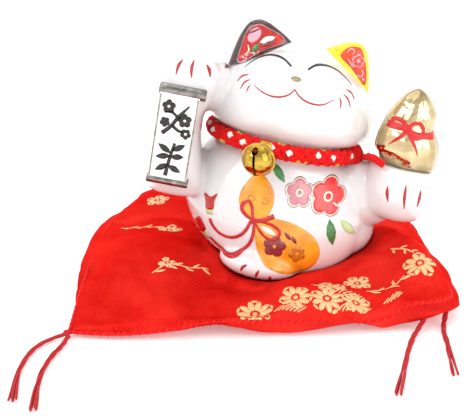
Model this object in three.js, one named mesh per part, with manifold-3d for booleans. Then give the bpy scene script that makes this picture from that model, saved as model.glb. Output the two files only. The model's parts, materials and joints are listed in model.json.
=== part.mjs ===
// A lucky cat figurine that sits, leaning a little, in the dent of a square brocade cushion.
// Millimetres, +Z up, -Y to the front, origin on the floor under the middle of the cushion.
// The cat's pieces are drawn in the cat's own frame (across, deep, up), which is then leaned over.
import * as THREE from 'three';
import { mergeVertices } from 'three/addons/utils/BufferGeometryUtils.js';
import Module from 'manifold-3d';

const wasm = await Module();
wasm.setup();

// ---------------------------------------------------------------- driving dimensions
const GAP = 0.3;
const WALL = 3.5;
const LEAN = THREE.MathUtils.degToRad(10.5);
const SEAT = new THREE.Vector3(-1, 0, 8);

// Rows of the cat's upright pieces: [up, half width, half depth, centre across, centre deep].
const NECK = { radius: 29.8, deep: -2, joint: 56 };
const BODY_ROWS = [
  [0.5, 15.5, 20, 2.5, -12], [1.3, 21.3, 25, 2.8, -10.5], [3, 28, 29.5, 4, -9.2], [6, 34.2, 33, 4.6, -8],
  [10, 38.6, 35.8, 4.4, -6.5], [15, 41.9, 37.3, 4, -5.5], [21, 44, 38, 3.4, -5], [27, 44.5, 37.8, 2.7, -4.6],
  [33, 44, 36.6, 2, -4], [39, 42.1, 34.8, 1.3, -3.4], [44.5, 38.8, 33, 0.8, -2.8], [49, 34.7, 31.2, 0.4, -2.3],
  [51.5, 31.4, 30.2, 0, NECK.deep], [53.3, 30, 29.9, 0, NECK.deep],
  [NECK.joint - GAP / 2, NECK.radius, NECK.radius, 0, NECK.deep],
];
const HEAD_ROWS = [
  [NECK.joint + GAP / 2, NECK.radius, NECK.radius, 0, NECK.deep], [57.4, 30, 29.9, 0, NECK.deep],
  [58.4, 30.7, 30.2, 0, -2], [59.4, 32, 30.6, 0, -2.1], [60.2, 34.2, 31.1, 0, -2.3], [61.6, 36.2, 32, 0, -2.7],
  [64, 37.8, 33.1, 0, -3.2], [68, 38.4, 33.8, 0, -3.7], [73, 37.8, 33.4, 0, -4], [78.5, 35.6, 32, 0, -4],
  [84, 31.8, 29.2, 0, -4], [89, 26.6, 25, 0, -3.8], [93, 20, 19.5, 0, -3.6], [95.8, 13, 13, 0, -3.4],
  [97.2, 5.5, 5.5, 0, -3.3], [97.5, 1.5, 1.5, 0, -3.3],
];
const RAISED_ARM_ROWS = [
  [25.6, 4, 4, -46, -20], [26.4, 9.5, 9, -46, -20], [28.5, 12.5, 12.5, -45.5, -20.3],
  [33, 13, 15, -45.6, -20.6], [42, 11.8, 15.5, -46.6, -21], [52, 10.6, 15.5, -47.7, -21],
  [62, 10.2, 15.5, -47.9, -21], [70, 11.6, 15.2, -46.6, -21], [77, 12.9, 14.5, -45.3, -20.6],
  [82, 12.3, 13.5, -45, -20.5], [86, 9.5, 10.5, -45, -20.5], [88.3, 5.5, 6, -45.2, -20.5],
  [89, 2, 2, -45.2, -20.5],
];
const PAW_ROWS = [
  [32.3, 5, 5, 54.5, -20], [33.6, 10, 9, 54, -20], [37, 13.8, 12.5, 53.7, -20],
  [42, 15.3, 14.2, 53.3, -20], [48, 15.7, 14.8, 53, -20], [53, 15.3, 14.6, 53, -20],
  [56.2, 14.3, 13.6, 53, -20], [57.2, 13, 12.5, 53, -20],
];
const FOREARM = { centre: [41, -13, 38], radii: [15.5, 14, 14] };
const FRONT_FOOT = { centre: [-2, -34.5, 5.4], radii: [18, 13.5, 6.8] };
const TAIL = { centre: [16, 31, 13], radii: [15, 9, 7], turn: 0.5 };
const VENT_RADIUS = 4;

const EAR = {
  outline: [[33, 78], [30.4, 86], [29, 93], [26.6, 100.5], [24.2, 104], [21, 105.4], [17, 104.6],
    [12.5, 102.6], [7.5, 99.8], [4, 95], [18, 80]],
  deep: -7,
  thick: 10,
  bevel: 2.2,
};

const SCROLL = {
  front: -36.3, thick: 3, left: -56, right: -39.5, low: 37.2, high: 70.6,
  topBar: { left: -56.3, right: -37.2, low: 70.9, high: 75.6, deep: 4.6 },
  lowBar: { left: -56, right: -38.8, low: 33.3, high: 36.9, deep: 4 },
};

// The gourd leans towards the head, so its rows are not centred over one another.
const PALM = PAW_ROWS[PAW_ROWS.length - 1][0] + GAP;
const GOURD_ROWS = [
  [PALM, 11.9, 10.8, 54.6, -20], [60.3, 13.1, 12, 53.8, -20], [63.5, 14, 12.9, 52.8, -20],
  [68, 13.7, 12.6, 52.4, -20], [72.7, 12, 11, 51.5, -20], [75.4, 10.8, 9.9, 51, -20],
  [78.2, 10.3, 9.5, 51.2, -20], [80.6, 9.7, 9, 51.8, -20], [83.1, 8.5, 8, 52, -20],
  [87.3, 5.8, 5.5, 51.8, -20], [90.1, 2.6, 2.6, 51.6, -20], [91, 0.8, 0.8, 51.5, -20],
];

const COLLAR = { radius: 33.5, cord: 3.3 };
const COLLAR_AROUND = 36;
const KNOT = { turn: THREE.MathUtils.degToRad(68), radius: 5 };
const COLLAR_TAIL = {
  radius: 1.4,
  route: [[37.6, -17.4, 56.8], [36, -22.5, 58.6], [37, -28.5, 59.4], [41, -34.2, 58.4]],
};

const BELL = {
  radius: 6.75, wall: 0.6, turn: THREE.MathUtils.degToRad(-15), droop: THREE.MathUtils.degToRad(14),
  slit: 1.1, hole: 1.3, holeOut: 5.4, rimThick: 0.4, rimHigh: 0.9, eye: 0.5, eyeReach: 80, pellet: 1.9,
};

// The cushion's sewn edge: each side starts at a corner, anticlockwise from the front left one.
const SEAM_SIDES = [
  [
    [-75, -82, 2.5], [-61.5, -83.6, 2.6], [-46.6, -83.3, 3.2], [-35.9, -82.4, 4.2], [-21.1, -80.1, 6], [-5, -78.6, 6],
    [15.1, -77.1, 6], [31.5, -75.4, 5.5], [43.4, -74, 4.8], [48.8, -72.2, 5.6], [53, -70.8, 8.4], [57.5, -70.2, 10.6],
    [63.2, -68.4, 10.2], [70.4, -65.5, 9.4], [77, -60, 9],
  ],
  [[77, -60, 9], [78, -25, 10], [78, 20, 10], [78, 62, 11.5]],
  [[78, 62, 11.5], [30, 66, 8], [-25, 71, 8], [-70, 80, 12]],
  [[-70, 80, 12], [-77, 34, 13], [-79.5, 2, 12.5], [-78, -45, 8], [-75, -82, 2.5]],
];
const CUSHION_HALF = 75;
const CLOTH = 0.8;
const CROWN = { front: 12, back: 21 };
const RIDGE = { high: 8, from: [56, -8, 0], to: [71, -46, 0], wide: 10 };
const DENT = { high: -8.5, from: [-4, -47, 0], to: [43, -8, 0], wide: 13 };
const PUFF = 4;
const FLAT_SHARE = 0.86;
const HEM = 0.95;
const RIM = 8;
const SINK = 1;
const STITCH = { radius: 0.5, out: 1 };
const CUSHION_TURNS = 32;
const CUSHION_RINGS = 7;

// Free threads sewn into the two front corners: hand-set routes along the floor.
const TASSEL_RADIUS = 1.25;
const TASSELS = {
  tassel_left_outer: [[-76.3, -83.6, 2.3], [-80, -85, 1.6], [-83.6, -89, 1.4], [-85.6, -95, 1.3],
    [-86, -103, 1.3], [-84.8, -113, 1.3], [-81.7, -125.5, 1.3]],
  tassel_left_inner: [[-74.6, -84.6, 2.2], [-75.6, -90, 1.4], [-77, -98, 1.3], [-77.3, -107, 1.3],
    [-76, -118, 1.3], [-73.4, -130.5, 1.3]],
  tassel_right_inner: [[65.5, -68.2, 8.2], [63.4, -70.8, 5.4], [60.6, -74.6, 2.6], [57.3, -80, 1.4],
    [54.4, -87, 1.3], [51.5, -95, 1.3], [49, -103, 1.3], [46.6, -110.5, 1.3], [44, -118.3, 1.3]],
  tassel_right_outer: [[73.6, -65.3, 6.6], [72.9, -66.2, 4.4], [72, -68.2, 2.2], [71, -72, 1.4], [70, -76.5, 1.3],
    [69.5, -82, 1.3], [68.3, -90, 1.3], [67, -99, 1.3], [66, -105.6, 1.3]],
};

// ---------------------------------------------------------------- solids
const WELD = 1e-4;
const AROUND = 24;

// The same surface with shared corners, and without triangles that have shrunk to a line.
function welded(geometry) {
  const bare = geometry.clone();
  bare.deleteAttribute('normal');
  bare.deleteAttribute('uv');
  const merged = mergeVertices(bare, WELD);
  const corners = Array.from(merged.index.array);
  const kept = [];
  for (let i = 0; i < corners.length; i += 3) {
    const [a, b, c] = corners.slice(i, i + 3);
    if (a !== b && b !== c && c !== a) kept.push(a, b, c);
  }
  merged.setIndex(kept);
  return merged;
}

function solid(geometry) {
  const closed = welded(geometry);
  const vertProperties = new Float32Array(closed.attributes.position.array);
  const triVerts = new Uint32Array(closed.index.array);
  return new wasm.Manifold(new wasm.Mesh({ numProp: 3, vertProperties, triVerts }));
}

function surface(body) {
  const { vertProperties, triVerts } = body.getMesh();
  const geometry = new THREE.BufferGeometry();
  geometry.setAttribute('position', new THREE.BufferAttribute(vertProperties, 3));
  geometry.setIndex(new THREE.BufferAttribute(triVerts, 1));
  return geometry;
}

function without(body, ...tools) {
  return tools.reduce((rest, tool) => rest.subtract(tool), body);
}

const grown = (rows, by) => rows.map(([up, wide, deep, ...centre]) => [up, wide + by, deep + by, ...centre]);

// An upright solid through rows of ellipses, flat at its two ends.
function loft(rows) {
  const rings = [rows[0], ...rows, rows[rows.length - 1]];
  const profile = rings.map(([up], i) => new THREE.Vector2(i === 0 || i === rings.length - 1 ? 0 : 1, up));
  const geometry = new THREE.LatheGeometry(profile, AROUND);
  geometry.rotateX(Math.PI / 2);
  const place = geometry.attributes.position;
  for (let i = 0; i < place.count; i += 1) {
    const [up, wide, deep, x, y] = rings[i % rings.length];
    place.setXYZ(i, x + place.getX(i) * wide, y + place.getY(i) * deep, up);
  }
  return solid(geometry);
}

function ellipsoid({ centre, radii, turn = 0 }, by = 0) {
  const geometry = new THREE.SphereGeometry(1, 16, 10);
  geometry.rotateX(Math.PI / 2);
  geometry.scale(...radii.map((radius) => radius + by));
  geometry.rotateZ(turn);
  geometry.translate(...centre);
  return solid(geometry);
}

function box(low, high) {
  const size = high.map((value, i) => value - low[i]);
  const geometry = new THREE.BoxGeometry(...size);
  geometry.translate(...low.map((value, i) => value + size[i] / 2));
  return solid(geometry);
}

function upright(radius, low, high, x, y) {
  const geometry = new THREE.CylinderGeometry(radius, radius, high - low, 16);
  geometry.rotateX(Math.PI / 2);
  geometry.translate(x, y, (low + high) / 2);
  return solid(geometry);
}

// A ring about the collar's axis, round in section.
function collarRing(radius, around, sides) {
  const geometry = new THREE.TorusGeometry(COLLAR.radius, radius, sides, around);
  geometry.translate(0, NECK.deep, NECK.joint);
  return geometry;
}

function tube(points, radius, sides, steps) {
  const path = new THREE.CatmullRomCurve3(points.map((point) => new THREE.Vector3(...point)));
  const section = new THREE.Shape();
  for (let side = 0; side < sides; side += 1) {
    const angle = (side / sides) * Math.PI * 2;
    const [x, y] = [Math.cos(angle) * radius, Math.sin(angle) * radius];
    if (side === 0) section.moveTo(x, y);
    else section.lineTo(x, y);
  }
  return new THREE.ExtrudeGeometry(section, { steps, extrudePath: path, bevelEnabled: false });
}

// ---------------------------------------------------------------- the cat's castings
function bodySolid(by = 0) {
  return loft(grown(BODY_ROWS, by)).add(ellipsoid(FRONT_FOOT, by));
}

function headSolid(by = 0) {
  return loft(grown(HEAD_ROWS, by));
}

// The hollow of a slip casting: its rows a wall thickness inside, from one height to another.
function hollow(rows, low, high) {
  const inside = grown(rows, -WALL).filter(([up]) => up > low && up < high);
  const first = [low, ...inside[0].slice(1)];
  const last = [high, ...inside[inside.length - 1].slice(1)];
  return loft([first, ...inside, last]);
}

function bodyShell() {
  const cavity = hollow(BODY_ROWS, BODY_ROWS[0][0] + WALL, NECK.joint + WALL);
  const vent = upright(VENT_RADIUS, -WALL, WALL * 3, 0, BODY_ROWS[0][4]);
  return surface(without(bodySolid(), cavity, vent));
}

function headShell() {
  const top = HEAD_ROWS[HEAD_ROWS.length - 1][0];
  return surface(without(headSolid(), hollow(HEAD_ROWS, NECK.joint - WALL, top - WALL)));
}

function ear(side) {
  const shape = new THREE.Shape(EAR.outline.map(([across, up]) => new THREE.Vector2(across * side, up)));
  const geometry = new THREE.ExtrudeGeometry(shape, {
    depth: EAR.thick - 2 * EAR.bevel,
    bevelThickness: EAR.bevel,
    bevelSize: EAR.bevel,
    bevelOffset: -EAR.bevel,
    bevelSegments: 2,
    curveSegments: 4,
  });
  geometry.rotateX(Math.PI / 2);
  geometry.translate(0, EAR.deep + EAR.thick / 2 - EAR.bevel, 0);
  return surface(without(solid(geometry), headSolid(GAP)));
}

function raisedArm() {
  const pad = SCROLL.front + SCROLL.thick + GAP;
  const seats = [
    box([SCROLL.left - 9, pad - 9, SCROLL.low - GAP], [SCROLL.right + GAP, pad, SCROLL.high + GAP]),
    ...[SCROLL.topBar, SCROLL.lowBar].map((bar) => box([bar.left - 9, pad - 9, bar.low - GAP],
      [bar.right + GAP, SCROLL.front + bar.deep + GAP, bar.high + GAP])),
  ];
  const arm = loft(RAISED_ARM_ROWS);
  return surface(without(arm, bodySolid(GAP), headSolid(GAP), ...seats));
}

function holdingArm() {
  const arm = loft(PAW_ROWS).add(ellipsoid(FOREARM));
  const room = solid(collarRing(COLLAR.cord + 3 * GAP, 24, 8));
  return surface(without(arm, bodySolid(GAP), headSolid(GAP), room));
}

function tail() {
  return surface(without(ellipsoid(TAIL), bodySolid(GAP)));
}

// ---------------------------------------------------------------- what the paws hold
function scrollPanel() {
  const { left, right, low, high, front, thick } = SCROLL;
  return surface(box([left, front, low], [right, front + thick, high]));
}

function scrollBar({ left, right, low, high, deep }) {
  const round = new THREE.CylinderGeometry((high - low) / 2, (high - low) / 2, right - left, 16);
  round.rotateZ(Math.PI / 2);
  round.scale(1, deep / (high - low), 1);
  round.translate((left + right) / 2, SCROLL.front + deep / 2, (low + high) / 2);
  return round;
}

function gourd() {
  return surface(loft(GOURD_ROWS));
}

// ---------------------------------------------------------------- collar and bell
// A point of the collar's centre circle; turn 0 faces the front, positive towards the holding arm.
function onCollar(turn, radius = COLLAR.radius) {
  return new THREE.Vector3(Math.sin(turn) * radius, NECK.deep - Math.cos(turn) * radius, NECK.joint);
}

function collarKnot() {
  const around = { centre: onCollar(KNOT.turn).toArray(), radii: [KNOT.radius, KNOT.radius, KNOT.radius] };
  const cord = solid(collarRing(COLLAR.cord + GAP, COLLAR_AROUND, 8));
  const inside = upright(COLLAR.radius, 0, 90, 0, NECK.deep);
  return surface(without(ellipsoid(around), cord, bodySolid(GAP), headSolid(GAP), inside));
}

// One half of the bell's ball as a shell, cut at the middle: side 1 is the eye's half.
function halfShell(side) {
  const { radius, wall } = BELL;
  const steps = 5;
  const arc = (r) => Array.from({ length: steps + 1 }, (_, i) => {
    const angle = (i / steps) * Math.acos(GAP / 2 / r);
    return new THREE.Vector2(i === 0 ? 0 : Math.sin(angle) * r, side * Math.cos(angle) * r);
  });
  const [inner, outer] = [arc(radius - wall), arc(radius)];
  const profile = side > 0 ? [...inner, ...outer.reverse()] : [...outer, ...inner.reverse()];
  const geometry = new THREE.LatheGeometry(profile, 16);
  geometry.rotateX(Math.PI / 2);
  return geometry;
}

function bellMouth() {
  const { radius, slit, hole, holeOut } = BELL;
  const slot = box([-slit / 2, -holeOut, -radius - 1], [slit / 2, holeOut, 0]);
  const ends = [-holeOut, holeOut].map((out) => upright(hole, -radius - 1, -1, 0, out));
  return surface(without(solid(halfShell(-1)), slot, ...ends));
}

function bellRim() {
  const [inner, outer] = [BELL.radius + GAP, BELL.radius + GAP + BELL.rimThick];
  const half = BELL.rimHigh / 2;
  const corners = [[inner, half], [inner, -half], [outer, -half], [outer, half], [inner, half]];
  const geometry = new THREE.LatheGeometry(corners.map(([r, z]) => new THREE.Vector2(r, z)), 24);
  geometry.rotateX(Math.PI / 2);
  return geometry;
}

// A wire staple around the front of the cord, in the plane through the bell's axis.
function bellEye(reach) {
  const bend = COLLAR.cord + GAP + BELL.eye;
  const angles = Array.from({ length: 9 }, (_, i) => THREE.MathUtils.degToRad((i / 4 - 1) * BELL.eyeReach));
  const points = angles.map((angle) => [0, Math.sin(angle) * bend, reach - Math.cos(angle) * bend]);
  return tube(points, BELL.eye, 6, 8);
}

// ---------------------------------------------------------------- the cushion
const sides = SEAM_SIDES.map((points) => new THREE.CatmullRomCurve3(points.map((p) => new THREE.Vector3(...p))));

// The sewn edge at a share of the way round, from the front left corner.
function seam(turn) {
  const along = (turn % 1) * sides.length;
  const side = Math.min(Math.floor(along), sides.length - 1);
  return sides[side].getPoint(along - side);
}

// How high the cat's underside is above this place, or Infinity where the cat isn't.
function underside(x, y) {
  const foot = FRONT_FOOT;
  for (let z = 0; z < 40; z += 0.25) {
    const across = (x - SEAT.x) * Math.cos(LEAN) - (z - SEAT.z) * Math.sin(LEAN);
    const up = (x - SEAT.x) * Math.sin(LEAN) + (z - SEAT.z) * Math.cos(LEAN);
    const upper = BODY_ROWS.findIndex(([rowUp]) => rowUp > up);
    const inFoot = Math.hypot(...[across, y, up].map((value, i) => (value - foot.centre[i]) / foot.radii[i])) < 1;
    if (inFoot) return z;
    if (upper > 0) {
      const [low, high] = [BODY_ROWS[upper - 1], BODY_ROWS[upper]];
      const share = (up - low[0]) / (high[0] - low[0]);
      const [, wide, deep, middle, centre] = low.map((value, i) => value + (high[i] - value) * share);
      if (Math.hypot((across - middle) / wide, (y - centre) / deep) < 1) return z;
    }
  }
  return Infinity;
}

// The height that a fold or a dent adds here; it fades away from the line that it follows.
function swelling({ high, from, to, wide }, x, y) {
  const here = new THREE.Vector3(x, y, 0);
  const line = new THREE.Line3(new THREE.Vector3(...from), new THREE.Vector3(...to));
  const away = line.closestPointToPoint(here, true, new THREE.Vector3()).distanceTo(here);
  return high * Math.exp(-((away / wide) ** 2));
}

function crown(x, y) {
  const level = CROWN.front + (CROWN.back - CROWN.front) * THREE.MathUtils.smoothstep(y, -60, 10);
  return level + swelling(RIDGE, x, y) + swelling(DENT, x, y);
}

function cushionTop(edge, share) {
  const [x, y] = [edge.x * share, edge.y * share];
  const swell = (1 - share ** PUFF) ** 0.7;
  const pillow = edge.z + (crown(x, y) - edge.z) * swell;
  return Math.min(pillow, underside(x, y) - SINK) + HEM * share ** RIM;
}

function cushionUnder(edge, share) {
  const rise = Math.max(0, (share - FLAT_SHARE) / (1 - FLAT_SHARE));
  return Math.max(0, edge.z * rise ** 2 - HEM * share ** RIM);
}

// The surface that the two covers meet along, which runs out to the sewn edge.
function cushionMiddle(edge, share) {
  const inside = (cushionTop(edge, share) + cushionUnder(edge, share)) / 2;
  return inside + (edge.z - inside) * share ** RIM;
}

// A closed solid over the cushion's plan between two heights, each a function of (edge, share).
function cushionLayer(shares, lower, upper) {
  const profile = [...shares.map((share) => new THREE.Vector2(share, -1)),
    ...shares.toReversed().map((share) => new THREE.Vector2(share, 1))];
  const geometry = new THREE.LatheGeometry(profile, CUSHION_TURNS);
  const place = geometry.attributes.position;
  for (let i = 0; i < place.count; i += 1) {
    const { x: share, y: level } = profile[i % profile.length];
    const edge = seam(Math.floor(i / profile.length) / CUSHION_TURNS);
    place.setXYZ(i, edge.x * share, edge.y * share, (level < 0 ? lower : upper)(edge, share));
  }
  return geometry;
}

// The cat's lower half where it sits, with some room around it.
function sitting(by) {
  const room = SINK / 2 + by;
  const seated = new THREE.Matrix4().makeRotationY(LEAN).setPosition(SEAT.x, SEAT.y, SEAT.z - room);
  return bodySolid(room).add(ellipsoid(TAIL, room)).add(ellipsoid(FOREARM, room)).transform(seated.elements);
}

const RINGS = Array.from({ length: CUSHION_RINGS + 1 }, (_, i) => Math.sin((i / CUSHION_RINGS) * (Math.PI / 2)));
const INNER_RINGS = RINGS.slice(0, -2);

// The space between the two covers, drawn in on all sides by a distance.
function inside(by) {
  const last = INNER_RINGS.length - 1;
  const shares = INNER_RINGS.map((share, i) => (i === last ? share - by / CUSHION_HALF : share));
  return solid(cushionLayer(shares, (edge, share) => cushionUnder(edge, share) + CLOTH + 2 * by,
    (edge, share) => cushionTop(edge, share) - CLOTH - 2 * by));
}

function topCover() {
  const upper = cushionLayer(RINGS, (edge, share) => cushionMiddle(edge, share) + GAP, cushionTop);
  return surface(without(solid(upper), sitting(0), without(inside(0), sitting(CLOTH))));
}

function bottomCover() {
  const under = cushionLayer(RINGS, cushionUnder, (edge, share) => cushionMiddle(edge, share) - GAP);
  return surface(without(solid(under), inside(0)));
}

function filling() {
  return surface(without(inside(GAP), sitting(CLOTH + GAP)));
}

// The thread that whips the two covers together, as one cord just outside their edge.
function edgeStitching() {
  const geometry = new THREE.TorusGeometry(1, STITCH.radius, 5, CUSHION_TURNS);
  const place = geometry.attributes.position;
  for (let i = 0; i < place.count; i += 1) {
    const turn = (i % (CUSHION_TURNS + 1)) / CUSHION_TURNS;
    const edge = seam(turn);
    const out = Math.hypot(place.getX(i), place.getY(i)) - 1 + STITCH.out;
    const share = 1 + out / Math.hypot(edge.x, edge.y);
    place.setXYZ(i, edge.x * share, edge.y * share, edge.z + place.getZ(i));
  }
  return geometry;
}

// ---------------------------------------------------------------- assembly
const finishes = {
  white: { color: 0xf4efee, roughness: 0.12, metalness: 0 },
  brown: { color: 0x4a2622, roughness: 0.15, metalness: 0 },
  yellow: { color: 0xf5cf1c, roughness: 0.15, metalness: 0 },
  paleGold: { color: 0xd8c288, roughness: 0.1, metalness: 1 },
  silver: { color: 0xb9b7ae, roughness: 0.2, metalness: 1 },
  gold: { color: 0xd8a82a, roughness: 0.12, metalness: 1 },
  steel: { color: 0x8d8f92, roughness: 0.4, metalness: 1 },
  cord: { color: 0xc4161c, roughness: 0.8, metalness: 0 },
  satin: { color: 0xd01016, roughness: 0.45, metalness: 0 },
  wadding: { color: 0xeeeae2, roughness: 0.95, metalness: 0 },
};

function mesh(name, geometry, finish) {
  const made = new THREE.Mesh(welded(geometry), new THREE.MeshStandardMaterial(finishes[finish]));
  made.name = name;
  return made;
}

function makeCat() {
  const cat = new THREE.Group();
  cat.position.copy(SEAT);
  cat.rotation.y = LEAN;
  cat.add(
    mesh('body_shell', bodyShell(), 'white'),
    mesh('head_shell', headShell(), 'white'),
    mesh('ear_brown', ear(-1), 'brown'),
    mesh('ear_yellow', ear(1), 'yellow'),
    mesh('raised_arm', raisedArm(), 'white'),
    mesh('holding_arm', holdingArm(), 'white'),
    mesh('tail', tail(), 'white'),
    mesh('scroll_panel', scrollPanel(), 'white'),
    mesh('scroll_top_bar', scrollBar(SCROLL.topBar), 'silver'),
    mesh('scroll_bottom_bar', scrollBar(SCROLL.lowBar), 'silver'),
    mesh('gold_gourd', gourd(), 'paleGold'),
    mesh('collar_cord', collarRing(COLLAR.cord, COLLAR_AROUND, 8), 'cord'),
    mesh('collar_knot', collarKnot(), 'cord'),
    mesh('collar_tail', tube(COLLAR_TAIL.route, COLLAR_TAIL.radius, 8, 8), 'cord'),
    makeBell(),
  );
  return cat;
}

// The bell's +Z runs from its centre to the cord; its slit stands upright in the room.
function makeBell() {
  const reach = COLLAR.cord + GAP + 2 * BELL.eye + GAP + BELL.radius;
  const out = onCollar(BELL.turn, 1).sub(onCollar(BELL.turn, 0)).setZ(0);
  const drop = out.multiplyScalar(Math.cos(BELL.droop)).setZ(-Math.sin(BELL.droop));
  const centre = onCollar(BELL.turn).addScaledVector(drop, reach);
  const plumb = new THREE.Vector3(Math.sin(LEAN), 0, -Math.cos(LEAN));
  const axis = drop.clone().negate();
  const across = new THREE.Vector3().crossVectors(new THREE.Vector3(0, 0, -1), axis).normalize();
  const level = new THREE.Vector3().crossVectors(plumb, axis).normalize();
  const framed = (side) => new THREE.Matrix4().makeBasis(side, new THREE.Vector3().crossVectors(axis, side), axis);
  const wires = new THREE.Group();
  wires.setRotationFromMatrix(framed(across));
  wires.position.copy(centre);
  wires.add(mesh('bell_eye', bellEye(reach), 'gold'));
  const ball = new THREE.Group();
  ball.setRotationFromMatrix(framed(level));
  ball.position.copy(centre);
  ball.add(
    mesh('bell_cap', halfShell(1), 'gold'),
    mesh('bell_mouth', bellMouth(), 'gold'),
    mesh('bell_rim', bellRim(), 'gold'),
  );
  const pellet = mesh('bell_pellet', new THREE.SphereGeometry(BELL.pellet, 10, 6), 'steel');
  pellet.position.copy(centre).addScaledVector(plumb, BELL.radius - BELL.wall - BELL.pellet - GAP);
  const bell = new THREE.Group();
  bell.add(wires, ball, pellet);
  return bell;
}

function makeCushion() {
  const cushion = new THREE.Group();
  cushion.add(
    mesh('cushion_top_cover', topCover(), 'satin'),
    mesh('cushion_bottom_cover', bottomCover(), 'satin'),
    mesh('cushion_filling', filling(), 'wadding'),
    mesh('edge_stitching', edgeStitching(), 'satin'),
    ...Object.entries(TASSELS).map(([name, route]) => mesh(name, tube(route, TASSEL_RADIUS, 8, 17), 'cord')),
  );
  return cushion;
}

const figurine = new THREE.Group();
figurine.add(makeCushion(), makeCat());
export default figurine;
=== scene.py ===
"""A glazed beckoning cat on a red brocade cushion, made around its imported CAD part.

The cat leans to its own left, so its pieces are drawn in the cat's own frame: (across, deep, up).
Sizes in this script are millimetres until new_piece() turns them into metres.
"""

import json
import math
import random

import bpy
import numpy as np
from mathutils import Matrix, Vector, geometry
from mathutils.bvhtree import BVHTree

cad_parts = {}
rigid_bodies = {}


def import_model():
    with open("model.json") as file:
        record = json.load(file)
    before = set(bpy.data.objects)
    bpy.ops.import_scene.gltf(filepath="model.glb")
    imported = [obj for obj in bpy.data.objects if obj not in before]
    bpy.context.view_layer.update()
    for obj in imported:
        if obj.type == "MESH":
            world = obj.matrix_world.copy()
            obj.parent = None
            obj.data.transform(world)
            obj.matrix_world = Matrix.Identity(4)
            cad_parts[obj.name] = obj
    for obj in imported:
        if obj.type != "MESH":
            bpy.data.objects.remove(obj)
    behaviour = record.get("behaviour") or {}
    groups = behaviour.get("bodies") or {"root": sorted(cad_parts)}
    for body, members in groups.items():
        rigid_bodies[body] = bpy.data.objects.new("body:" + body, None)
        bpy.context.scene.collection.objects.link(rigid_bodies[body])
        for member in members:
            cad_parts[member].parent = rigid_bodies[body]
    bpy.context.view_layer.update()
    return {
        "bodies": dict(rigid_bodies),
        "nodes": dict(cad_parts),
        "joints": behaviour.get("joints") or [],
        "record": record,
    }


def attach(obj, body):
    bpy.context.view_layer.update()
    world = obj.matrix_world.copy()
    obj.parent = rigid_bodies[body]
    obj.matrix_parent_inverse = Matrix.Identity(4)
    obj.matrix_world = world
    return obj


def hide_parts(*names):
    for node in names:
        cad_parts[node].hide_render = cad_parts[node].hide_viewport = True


MM = 0.001
WORLD = Matrix.Identity(4)

# The cat's frame: where it sits on the cushion, and how it leans.
LEAN = math.radians(10.5)
CAT = Matrix.Translation((-1, 0, 8)) @ Matrix.Rotation(LEAN, 4, "Y")

CAMERA_PLACE = (-3, -308, 125)
CAMERA_TURN = (72.4, 0, 1.8)
LENS = 50.02
# Each light, in metres: its place, how high it points, its size and its power.
LIGHTS = {
    "window light": ((-0.55, -0.50, 0.75), 0.05, (0.7, 0.5), 3.6),
    "fill light": ((0.60, -0.50, 0.40), 0.06, (0.5, 0.7), 2.2),
    "top light": ((0.0, 0.15, 0.9), 0.03, (0.8, 0.8), 1.7),
}
ROOM_STRENGTH = 0.84
FLOOR_GLOW = 0.22
FLOOR_FLAT, FLOOR_SWEEP, WALL_TOP = 1300, 500, 1100

# Rows of a loft: up, half width, half depth, centre across, centre deep.
BODY_ROWS = [
    (0.5, 15.5, 20, 2.5, -12), (1.3, 21.3, 25, 2.8, -10.5), (3, 28, 29.5, 4, -9.2), (6, 34.2, 33, 4.6, -8),
    (10, 38.6, 35.8, 4.4, -6.5), (15, 41.9, 37.3, 4, -5.5), (21, 44, 38, 3.4, -5),
    (27, 44.5, 37.8, 2.7, -4.6), (33, 44, 36.6, 2, -4), (39, 42.1, 34.8, 1.3, -3.4),
    (44.5, 38.8, 33, 0.8, -2.8), (49, 34.7, 31.2, 0.4, -2.3), (51.5, 31.4, 30.2, 0, -2),
    (53.3, 30, 29.9, 0, -2), (57.2, 29.8, 29.8, 0, -2),
]
HEAD_ROWS = [
    (55, 29.6, 29.6, 0, -2), (57.4, 30, 29.9, 0, -2), (58.4, 30.7, 30.2, 0, -2), (59.4, 32, 30.6, 0, -2.1),
    (60.2, 34.2, 31.1, 0, -2.3), (61.6, 36.2, 32, 0, -2.7), (64, 37.8, 33.1, 0, -3.2),
    (68, 38.4, 33.8, 0, -3.7), (73, 37.8, 33.4, 0, -4), (78.5, 35.6, 32, 0, -4), (84, 31.8, 29.2, 0, -4),
    (89, 26.6, 25, 0, -3.8), (93, 20, 19.5, 0, -3.6), (95.8, 13, 13, 0, -3.4), (97.2, 5.5, 5.5, 0, -3.3),
    (97.5, 1.5, 1.5, 0, -3.3),
]
RAISED_ARM_ROWS = [
    (25.6, 4, 4, -46, -20), (26.4, 9.5, 9, -46, -20), (28.5, 12.5, 12.5, -45.5, -20.3),
    (33, 13, 15, -45.6, -20.6), (42, 11.8, 15.5, -46.6, -21), (52, 10.6, 15.5, -47.7, -21),
    (62, 10.2, 15.5, -47.9, -21), (70, 11.6, 15.2, -46.6, -21), (77, 12.9, 14.5, -45.3, -20.6),
    (82, 12.3, 13.5, -45, -20.5), (86, 9.5, 10.5, -45, -20.5), (88.3, 5.5, 6, -45.2, -20.5),
    (89, 2, 2, -45.2, -20.5),
]
PAW_ROWS = [
    (32.3, 5, 5, 54.5, -20), (33.6, 10, 9, 54, -20), (37, 13.8, 12.5, 53.7, -20), (42, 15.3, 14.2, 53.3, -20),
    (48, 15.7, 14.8, 53, -20), (53, 15.3, 14.6, 53, -20), (56.2, 14.3, 13.6, 53, -20),
    (57.2, 13, 12.5, 53, -20),
]
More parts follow.
